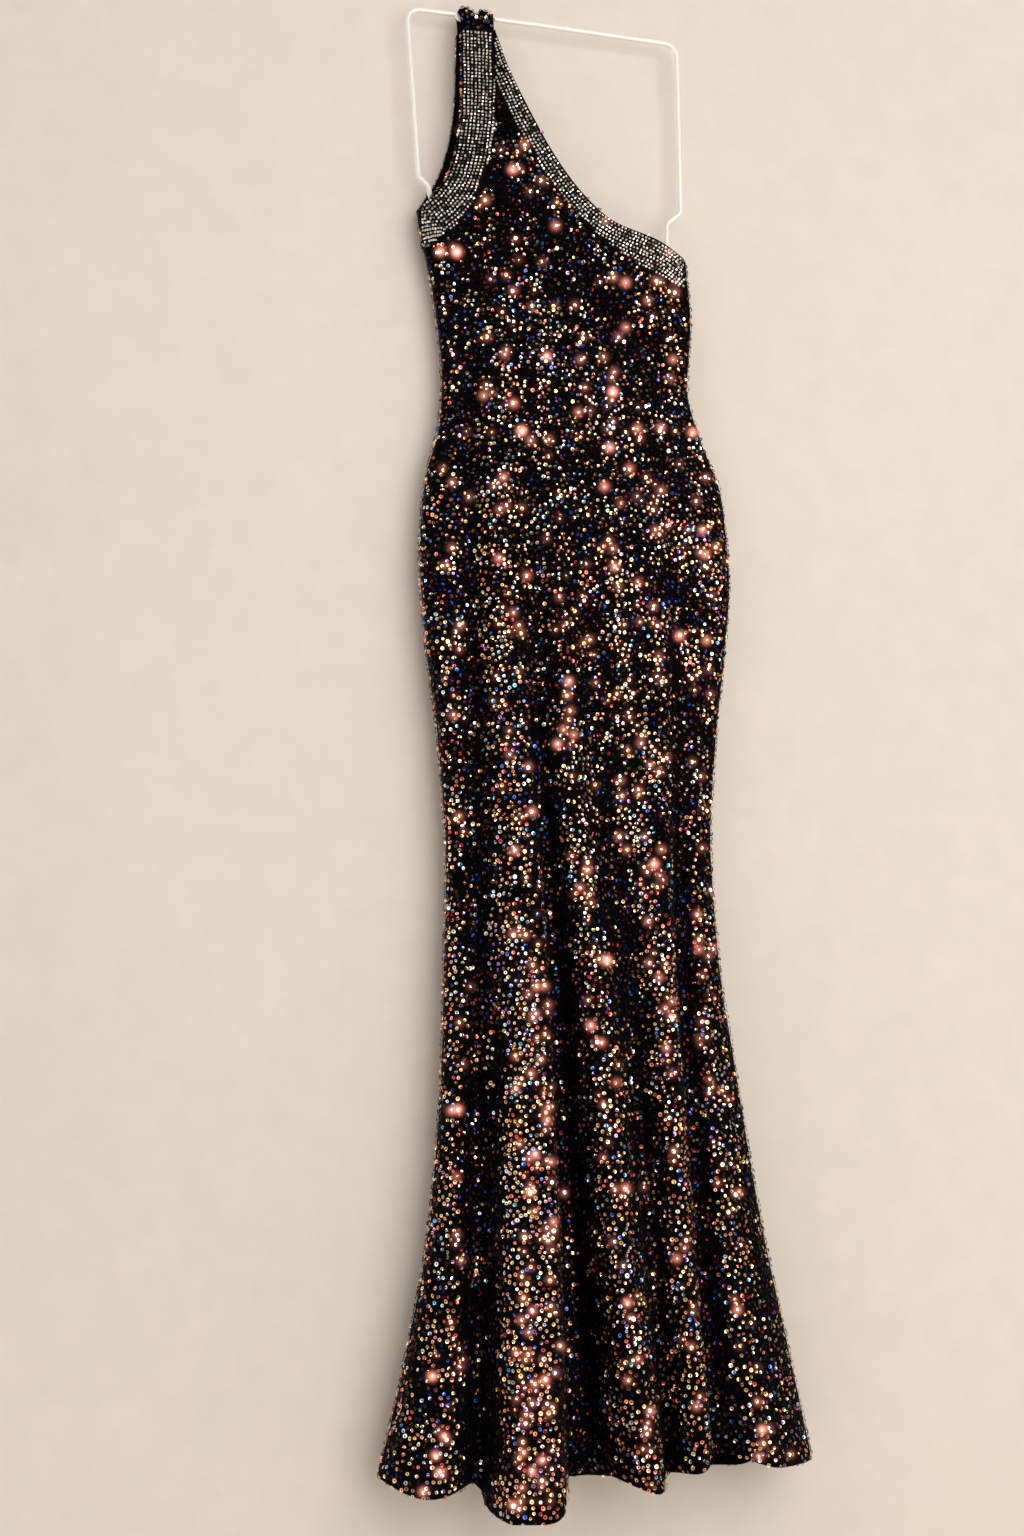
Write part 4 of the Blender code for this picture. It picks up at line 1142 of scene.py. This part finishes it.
def strap_points(rows, columns):
    """Outer points of the gathered loop over the bar, from the front to the back."""
    share = np.linspace(0.0, 1.0, columns)
    gathers = np.asarray(GATHERS)
    x_top = gathers[0, 0] + (gathers[-1, 0] - gathers[0, 0]) * share
    height = smooth(gathers[:, 0], gathers[:, 1], x_top)
    height = height + STRAP_PLEAT * np.sin(share * 2 * math.pi * STRAP_PLEATS)
    x_end = FRONT_ARMHOLE[0][0] + (FRONT_NECKLINE[0][0] - FRONT_ARMHOLE[0][0]) * share
    grid = []
    for turn in np.linspace(0.0, math.pi, rows):
        side = FRONT if turn <= math.pi / 2 else BACK
        depth = side.depth(x_end, np.full_like(x_end, STRAP_END))
        rise = math.sin(turn) ** STRAP_FULLNESS if 0 < turn < math.pi else 0.0
        blend = float(ease(math.sin(turn) * STRAP_WIDENS))
        x = x_end + (x_top - x_end) * blend
        y = side.facing * depth * abs(math.cos(turn))
        y = y * (1.0 + STRAP_PLEAT_SHARE * blend * np.sin(share * 2 * math.pi * STRAP_PLEATS))
        left = float(ease(math.sin(turn) * STRAP_LEAVES))
        start = -STRAP_END + (STRAP_END - STRAP_TURN) * left
        grid.append(np.stack([x, y, start + (height + STRAP_TURN) * rise], axis=-1))
    return np.stack(grid)


class GOWN_OT_strap(bpy.types.Operator):
    """Make the gathered strap over the bar"""
    bl_idname = "gown.strap"
    bl_label = "Strap"

    def execute(self, context):
        found = materials(context.scene)
        points = strap_points(rows=48, columns=49)
        size = points.shape[:2]
        # every sequin on the strap gets the same painted shade
        piece = sheet_object("strap_cloth", points, True, [found["knit"], found["lining"]],
                             {"bare": np.ones(size), "shine": np.full(size, STRAP_PAINTED_LIGHT)})
        add_wall(piece, context.scene.gown_cloth.wall, True)
        finish_piece(piece, "sequin_cloth", "shoulder_strap")
        return {"FINISHED"}


def band_grid(band, steps, columns):
    rows = along(band, np.linspace(0.0, 1.0, steps + 1))
    share = np.linspace(0.0, 1.0, columns + 1)
    x = rows[:, :1] + (rows[:, 2:3] - rows[:, :1]) * share
    drop = rows[:, 1:2] + (rows[:, 3:4] - rows[:, 1:2]) * share
    return x, drop


ROUTE_STEPS = 900         # places along a band at which its rows are worked out
FIRST_STONE = 0.4         # where a row begins, as a share of the pitch
ROW_WANDER = 1.4          # how far a row wanders, as a share of the stray
WANDER_LENGTH = 0.007     # length of a row in which it turns through one radian of its wander
WANDER_START = 0.9        # radians from the wander of one row to that of the next


def stone_places(band, settings):
    """Place, way out and way along the row of every stone: rows run beside the band's outer edge."""
    rows = along(band, np.linspace(0.0, 1.0, ROUTE_STEPS))
    outer, inner = rows[:, :2], rows[:, 2:]
    width = np.linalg.norm(inner - outer, axis=1)
    lift = settings.net_lift + settings.net_wall
    order = np.random.default_rng(settings.seed)
    found = []
    for k in range(int(width.max() / settings.row_pitch) + 1):
        distance = settings.margin + settings.row_pitch * k
        valid = distance < width - settings.margin * 0.5
        spot = outer + (inner - outer) * (distance / np.maximum(width, 1e-6))[:, None]
        points = FRONT.place(spot[:, 0], spot[:, 1])
        legs = np.linalg.norm(np.diff(points, axis=0), axis=1)
        run = np.concatenate([[0.0], np.cumsum(np.where(valid[1:] & valid[:-1], legs, 0.0))])
        for at in np.arange(settings.pitch * FIRST_STONE, run[-1], settings.pitch):
            i = int(np.searchsorted(run, at))
            if not valid[i] or i + 1 >= len(points):
                continue
            way = unit(points[min(i + 3, len(points) - 1)] - points[max(i - 3, 0)])
            out_way = FRONT.outward(spot[i, 0], spot[i, 1])
            aside = np.cross(out_way, way)
            stray = order.normal(0.0, settings.stray, 2)
            wander = settings.stray * ROW_WANDER * math.sin(at / WANDER_LENGTH + WANDER_START * k)
            place = points[i] + out_way * lift + way * stray[0] + aside * (stray[1] + wander)
            found.append((place, out_way, way))
    return [np.array(column) for column in zip(*found)]


class GOWN_OT_bands(bpy.types.Operator):
    """Make the net bands along the armhole and the neckline, with their rows of stones"""
    bl_idname = "gown.bands"
    bl_label = "Stone Bands"

    def execute(self, context):
        stones, found = context.scene.gown_stones, materials(context.scene)
        shape, group = cut_stone(stones), stone_tree()
        for name, band, node, flat in (("armhole", ARMHOLE_BAND, "armhole_trim", (0.036, 0.30)),
                                       ("neckline", NECKLINE_BAND, "neckline_trim", (0.036, 0.34))):
            x, drop = band_grid(band, BAND_STEPS, BAND_COLUMNS)
            points = FRONT.place(x, drop) + FRONT.outward(x, drop) * (stones.net_lift + stones.net_wall)
            left_first = band[0, 0] < band[0, 2]
            net = sheet_object(name + "_net", points, not left_first, [found["net"]])
            add_wall(net, stones.net_wall, False)
            finish_piece(net, "stone_band", node)
            places, *ways = stone_places(band, stones)
            carrier = points_object(name + "_places", places, dict(zip(WAYS, ways)))
            set_stones = run_tree(name + "_stones", carrier, group,
                                  {"Shape": shape, "Material": found["stone"], "Seed": stones.seed})
            discard(carrier)
            finish_piece(set_stones, "stone_band")
        discard(shape)
        return {"FINISHED"}


class GOWN_OT_sequins(bpy.types.Operator):
    """Sew the sequins on the front, the back and the strap"""
    bl_idname = "gown.sequins"
    bl_label = "Sequins"

    def execute(self, context):
        sequins, found = context.scene.gown_sequins, materials(context.scene)
        shape, group = cup_sequin(sequins), sequin_tree()
        upper, lower = (EVERYWHERE[0], SKIRT_SPLIT), (SKIRT_SPLIT, EVERYWHERE[1])
        film = {"Shape": shape, "Material": found["sequin"], "Seed": sequins.seed}
        scatter = {**film, "Lift": sequins.lift, "Tilt": sequins.tilt, "Clumps": sequins.clumps,
                   "Hue Clumps": sequins.hue_clumps, "Contrast": sequins.contrast}
        for name, cloth, (top, bottom), spacing in (
                ("front_sequins_upper", "front_cloth", upper, sequins.spacing),
                ("front_sequins_lower", "front_cloth", lower, sequins.spacing),
                ("back_sequins_upper", "back_cloth", upper, sequins.spacing),
                ("back_sequins_lower", "back_cloth", lower, sequins.spacing),
                ("strap_sequins", "strap_cloth", EVERYWHERE, sequins.spacing * STRAP_SPACING)):
            piece = run_tree(name, bpy.data.objects[cloth], group,
                             {**scatter, "Spacing": spacing, "Top": top, "Bottom": bottom})
            finish_piece(piece, "sequin_cloth")
        edges = edge_places(sequins)
        piece = run_tree("edge_sequins", edges, stone_tree(),
                         {**film, "Tilt": sequins.tilt * EDGE_TILT})
        discard(edges)
        finish_piece(piece, "sequin_cloth")
        discard(shape)
        return {"FINISHED"}


def points_object(name, places, fields):
    """Loose points to set shapes on, with their fields."""
    mesh = bpy.data.meshes.new(name)
    mesh.from_pydata(np.asarray(places).tolist(), [], [])
    add_fields(mesh, fields)
    return bpy.data.objects.new(name, mesh)


# The sequins that stand out along the edges of the cloth.
STRAP_SPACING = 0.85      # spacing on the strap and along the edges, as shares of the panels' spacing
EDGE_SPACING = 0.9
SEAM_SPACING = 0.95
EDGE_TILT = 1.6           # how much more they lean
EDGE_SHARES = (0.02, 0.98)
EDGE_FACING = 0.6         # how much they turn to the front or the back
EDGE_REACH = (0.0008, 0.0007)        # how far they stand out: least, and the spread above it
SEAM_REACH = (0.0010, 0.0012)
SEAM_FACING = (-0.7, 1.2)
SEAM_JITTER = 0.4         # along the seam, as a share of the spacing
SEAM_UPWARD = 0.3
SEAM_END = 1.46           # drop where they end
SEAM_STARTS = (("left", -1, 0.235), ("right", 1, 0.268))
GLOSS_SPREAD = (2.0, -0.5)


def edge_places(settings):
    """Places of the sequins that stick out along the bodice's edges and down the side seams."""
    order = np.random.default_rng(settings.seed)
    places, out_ways = [], []
    for side, edge, outwards in ((BACK, BACK_ARMHOLE, -1), (FRONT, FRONT_ARMHOLE, -1),
                                 (BACK, BACK_NECKLINE, 1)):
        reach = np.hypot(*np.diff(np.asarray(edge), axis=0).T).sum()
        spots = along(edge, np.arange(*EDGE_SHARES, settings.spacing * EDGE_SPACING / reach))
        way = np.gradient(spots, axis=0)
        for (x, drop), (dx, dd) in zip(spots, unit(way)):
            out = np.array((dd, 0.0, dx)) * outwards
            out = unit(out + np.array((0.0, side.facing * EDGE_FACING, 0.0)))
            places.append(side.place(x, drop) + out * (EDGE_REACH[0] + EDGE_REACH[1] * order.random()))
            out_ways.append(out)
    for name, outwards, start in SEAM_STARTS:
        for drop in np.arange(start, SEAM_END, settings.spacing * SEAM_SPACING):
            at = drop + settings.spacing * SEAM_JITTER * order.random()
            facing = SEAM_FACING[0] + SEAM_FACING[1] * order.random()
            out = unit(np.array((outwards, facing, SEAM_UPWARD * order.random())))
            base = np.array((float(section(name, at)), float(section("seam", at)), -at))
            places.append(base + out * (SEAM_REACH[0] + SEAM_REACH[1] * order.random()))
            out_ways.append(out)
    # the edge sequins get only their own tone at random, with no painted light
    gloss = np.clip(order.random(len(places)) * GLOSS_SPREAD[0] + GLOSS_SPREAD[1], 0.0, 1.0)
    row_ways = np.tile((0.0, 0.0, 1.0), (len(places), 1))
    fields = {"out_way": out_ways, "row_way": row_ways, "gloss": gloss}
    return points_object("edge_places", places, fields)


LEAST_BEND = math.radians(6)


def rounded_loop(bends, steps):
    """Points once round a closed wire, each corner replaced by an arc of its radius."""
    points = []
    for k, (x, drop, radius) in enumerate(bends):
        corner = Vector((x, 0.0, -drop))
        before = Vector((bends[k - 1][0], 0.0, -bends[k - 1][1]))
        following = bends[(k + 1) % len(bends)]
        after = Vector((following[0], 0.0, -following[1]))
        way_in, way_out = (corner - before).normalized(), (after - corner).normalized()
        turn = way_in.angle(way_out)
        if turn < LEAST_BEND:
            points.append(corner)
            continue
        reach = radius * math.tan(turn / 2)
        inward = (way_out - way_in * way_in.dot(way_out)).normalized()
        centre = corner - way_in * reach + inward * radius
        spoke = corner - way_in * reach - centre
        axis = way_in.cross(way_out).normalized()
        for step in range(steps + 1):
            points.append(centre + Matrix.Rotation(turn * step / steps, 3, axis) @ spoke)
    return points


class GOWN_OT_wire_frame(bpy.types.Operator):
    """Bend the white wire frame that the gown hangs on"""
    bl_idname = "gown.wire_frame"
    bl_label = "Wire Frame"

    def execute(self, context):
        wire, found = context.scene.gown_wire, materials(context.scene)
        curve = bpy.data.curves.new("wire_route", "CURVE")
        curve.dimensions = "3D"
        curve.bevel_depth = wire.radius
        curve.bevel_resolution = 4
        points = rounded_loop(WIRE_BENDS, wire.steps)
        route = curve.splines.new("POLY")
        route.points.add(len(points) - 1)
        for spot, point in zip(route.points, points):
            spot.co = (*point, 1.0)
        route.use_cyclic_u = True
        route.use_smooth = True
        drawn = in_scene(bpy.data.objects.new("wire_route", curve))
        mesh = final_mesh(drawn)
        discard(drawn)
        mesh.materials.clear()
        mesh.shade_smooth()
        piece = new_object("wire_frame", mesh, [found["coating"]])
        finish_piece(piece, "white_wire", "hanger_wire")
        return {"FINISHED"}


# ---------------------------------------------------------------- the stage
WALL_TOP = 3
STAGE_SIDE = 4
STAGE_DEPTH = (-6, 6)


def plane_object(name, corners, material):
    mesh = bpy.data.meshes.new(name)
    mesh.from_pydata(corners, [], [(0, 1, 2, 3)])
    piece = new_object(name, mesh, [material])
    return piece


# Soft lights from rectangles. The power is a share of a setting, or watts where none is named. One for
# glints only lights what shines and leaves the wall alone.
Light = namedtuple("Light", "name place target setting power width height tint glints_only")
MIDDLE = (0.0, 0.0, -0.75)
LIGHTS = [
    Light("window", (0.80, -2.50, -0.40), MIDDLE, "window_power", 1.0, 2.4, 2.6,
          (1.0, 0.955, 0.905), False),
    Light("tall_right", (1.00, -2.10, -0.55), MIDDLE, "glint_power", 1.0, 0.9, 2.2,
          (1.0, 0.96, 0.92), True),
    Light("tall_front", (0.05, -2.60, -0.85), MIDDLE, "glint_power", 0.6, 0.5, 2.2,
          (1.0, 0.97, 0.95), True),
    Light("tall_left", (-1.90, -1.30, -0.60), MIDDLE, "glint_power", 0.4, 0.22, 1.8,
          (0.72, 0.84, 1.0), True),
    Light("far_left", (-2.30, 0.30, -0.75), MIDDLE, "glint_power", 0.6, 0.9, 2.0,
          (1.0, 0.90, 0.84), True),
    Light("spot_high", (1.10, -1.60, 0.60), MIDDLE, "", 9.0, 0.10, 0.10, (1.0, 0.93, 0.88), True),
    Light("spot_low", (0.45, -1.80, -1.40), (0.0, 0.0, -1.20), "", 7.0, 0.10, 0.10,
          (1.0, 0.90, 0.84), True),
    Light("spot_front", (0.25, -2.20, -0.30), MIDDLE, "", 9.0, 0.10, 0.10, (1.0, 0.94, 0.92), True),
    Light("behind", (-1.20, 2.20, 0.30), MIDDLE, "", 34.0, 0.8, 0.8, (1.0, 0.96, 0.9), False),
]


def add_light(light, settings):
    lamp = bpy.data.lights.new(light.name, "AREA")
    lamp.shape = "RECTANGLE"
    lamp.energy = light.power * (getattr(settings, light.setting) if light.setting else 1.0)
    lamp.size, lamp.size_y = light.width, light.height
    lamp.color = light.tint
    item = in_scene(bpy.data.objects.new(light.name, lamp))
    item.location = light.place
    way = Vector(light.target) - Vector(light.place)
    item.rotation_euler = way.to_track_quat("-Z", "Y").to_euler()
    item.visible_diffuse = not light.glints_only


def add_camera():
    forward = Vector((math.sin(CAMERA_TURN) * math.cos(CAMERA_RISE),
                      math.cos(CAMERA_TURN) * math.cos(CAMERA_RISE), math.sin(CAMERA_RISE)))
    right = Vector((math.cos(CAMERA_TURN), -math.sin(CAMERA_TURN), 0.0))
    down = -right.cross(forward)
    across = right * math.cos(CAMERA_ROLL) + down * math.sin(CAMERA_ROLL)
    under = -right * math.sin(CAMERA_ROLL) + down * math.cos(CAMERA_ROLL)
    lens = bpy.data.cameras.new("view")
    lens.sensor_width = SENSOR_WIDTH
    lens.lens = VIEW_LENGTH / max(FRAME_SIZE) * SENSOR_WIDTH
    lens.clip_start, lens.clip_end = CLIP_RANGE
    camera = in_scene(bpy.data.objects.new("view", lens))
    axes = Matrix((across, -under, -forward)).transposed().to_4x4()
    camera.matrix_world = Matrix.Translation(CAMERA_PLACE) @ axes
    bpy.context.scene.camera = camera


ROOM_TINT = (1.0, 0.975, 0.95, 1.0)
MIRRORED_TINT = (0.7, 0.82, 1.0, 1.0)
MIRRORED_LIGHT = 0.05
GLOW_THRESHOLD = 5.0
GLOW_CEILING = 16.0
GLOW_REACH = 0.0055       # share of the picture's height
GLOW_TINT = (1.0, 0.30, 0.22, 1.0)


def room_light(strength):
    """Even light from all round. Shiny things see a darker room than the wall does."""
    world = bpy.data.worlds.new("room")
    world.use_nodes = True
    bpy.context.scene.world = world
    tree = Tree(world.node_tree)
    base = world.node_tree.nodes["Background"]
    tree.feed(base.inputs["Color"], ROOM_TINT)
    tree.feed(base.inputs["Strength"], strength)
    mirrored = tree.node("ShaderNodeBackground", {"Color": MIRRORED_TINT, "Strength": MIRRORED_LIGHT})
    glossy = tree.node("ShaderNodeLightPath").outputs["Is Glossy Ray"]
    choice = tree.node("ShaderNodeMixShader", {0: glossy, 1: base.outputs[0], 2: mirrored.outputs[0]})
    tree.feed(world.node_tree.nodes["World Output"].inputs["Surface"], choice.outputs[0])


def add_glow(stops):
    """Soft warm glow round the few glints that are far brighter than the rest."""
    scene = bpy.context.scene
    scene.use_nodes = True
    tree = Tree(scene.node_tree)
    scene.node_tree.nodes.clear()
    picture = tree.node("CompositorNodeRLayers").outputs["Image"]
    hottest = tree.node("CompositorNodeGlare",
                        {"Image": picture, "Threshold": GLOW_THRESHOLD, "Maximum": GLOW_CEILING},
                        glare_type="BLOOM", quality="HIGH").outputs["Highlights"]
    reach = tree.node("CompositorNodeRelativeToPixel", {1: GLOW_REACH, "Image": picture},
                      data_type="FLOAT", reference_dimension="Y").outputs[0]
    spread = tree.node("CompositorNodeBlur", {"Image": hottest, "Size": reach},
                       filter_type="FAST_GAUSS").outputs[0]
    raised = tree.node("CompositorNodeExposure", {"Image": spread, "Exposure": stops}).outputs[0]
    grey = tree.node("CompositorNodeRGBToBW", {0: raised}).outputs[0]
    warm = tree.node("CompositorNodeMixRGB", {0: 1.0, 1: grey, 2: GLOW_TINT}, blend_type="MULTIPLY")
    both = tree.node("CompositorNodeMixRGB", {0: 1.0, 1: picture, 2: warm.outputs[0]}, blend_type="ADD")
    tree.node("CompositorNodeComposite", {"Image": both.outputs[0]})


class GOWN_OT_stage(bpy.types.Operator):
    """Set up the wall, the floor, the lights and the camera"""
    bl_idname = "gown.stage"
    bl_label = "Stage"

    def execute(self, context):
        stage, speckle = context.scene.gown_stage, materials(context.scene)["speckle"]
        side, front, back = STAGE_SIDE, *STAGE_DEPTH
        y, low, high = stage.wall_place, -stage.floor_drop, WALL_TOP
        wall = plane_object("wall", [(-side, y, low), (side, y, low), (side, y, high), (-side, y, high)],
                            plaster_material("wall_paint", stage.wall_colour, True, speckle))
        wall.visible_shadow = False
        corners = [(-side, front, low), (side, front, low), (side, back, low), (-side, back, low)]
        plane_object("floor", corners,
                     plaster_material("floor_paint", stage.floor_colour, False, speckle))
        for light in LIGHTS:
            add_light(light, stage)
        room_light(stage.room_light)
        add_glow(stage.glow)
        context.scene.view_settings.view_transform = "Standard"
        add_camera()
        return {"FINISHED"}


class GOWN_PT_panel(bpy.types.Panel):
    """Lists the pieces of the gown and their sizes"""
    bl_label = "Evening Gown"
    bl_idname = "GOWN_PT_panel"
    bl_space_type = "VIEW_3D"
    bl_region_type = "UI"
    bl_category = "Gown"

    def draw(self, context):
        for settings, operators in OPERATORS.items():
            box = self.layout.box()
            for operator in operators:
                box.operator(operator.bl_idname)
            group = getattr(context.scene, settings)
            for name in group.__annotations__:
                box.prop(group, name)


SETTINGS = {"gown_cloth": ClothSettings, "gown_sequins": SequinSettings, "gown_stones": StoneSettings,
            "gown_wire": WireSettings, "gown_stage": StageSettings}
OPERATORS = {"gown_cloth": (GOWN_OT_panels, GOWN_OT_strap), "gown_stones": (GOWN_OT_bands,),
             "gown_sequins": (GOWN_OT_sequins,), "gown_wire": (GOWN_OT_wire_frame,),
             "gown_stage": (GOWN_OT_stage,)}
CLASSES = (*SETTINGS.values(), *(item for group in OPERATORS.values() for item in group), GOWN_PT_panel)


def register():
    for item in CLASSES:
        bpy.utils.register_class(item)
    for name, group in SETTINGS.items():
        setattr(bpy.types.Scene, name, PointerProperty(type=group))


def unregister():
    for name in SETTINGS:
        delattr(bpy.types.Scene, name)
    for item in reversed(CLASSES):
        bpy.utils.unregister_class(item)


def main():
    register()
    bpy.ops.gown.wire_frame()
    bpy.ops.gown.panels()
    bpy.ops.gown.strap()
    bpy.ops.gown.bands()
    bpy.ops.gown.sequins()
    bpy.ops.gown.stage()


if __name__ == "__main__":
    main()
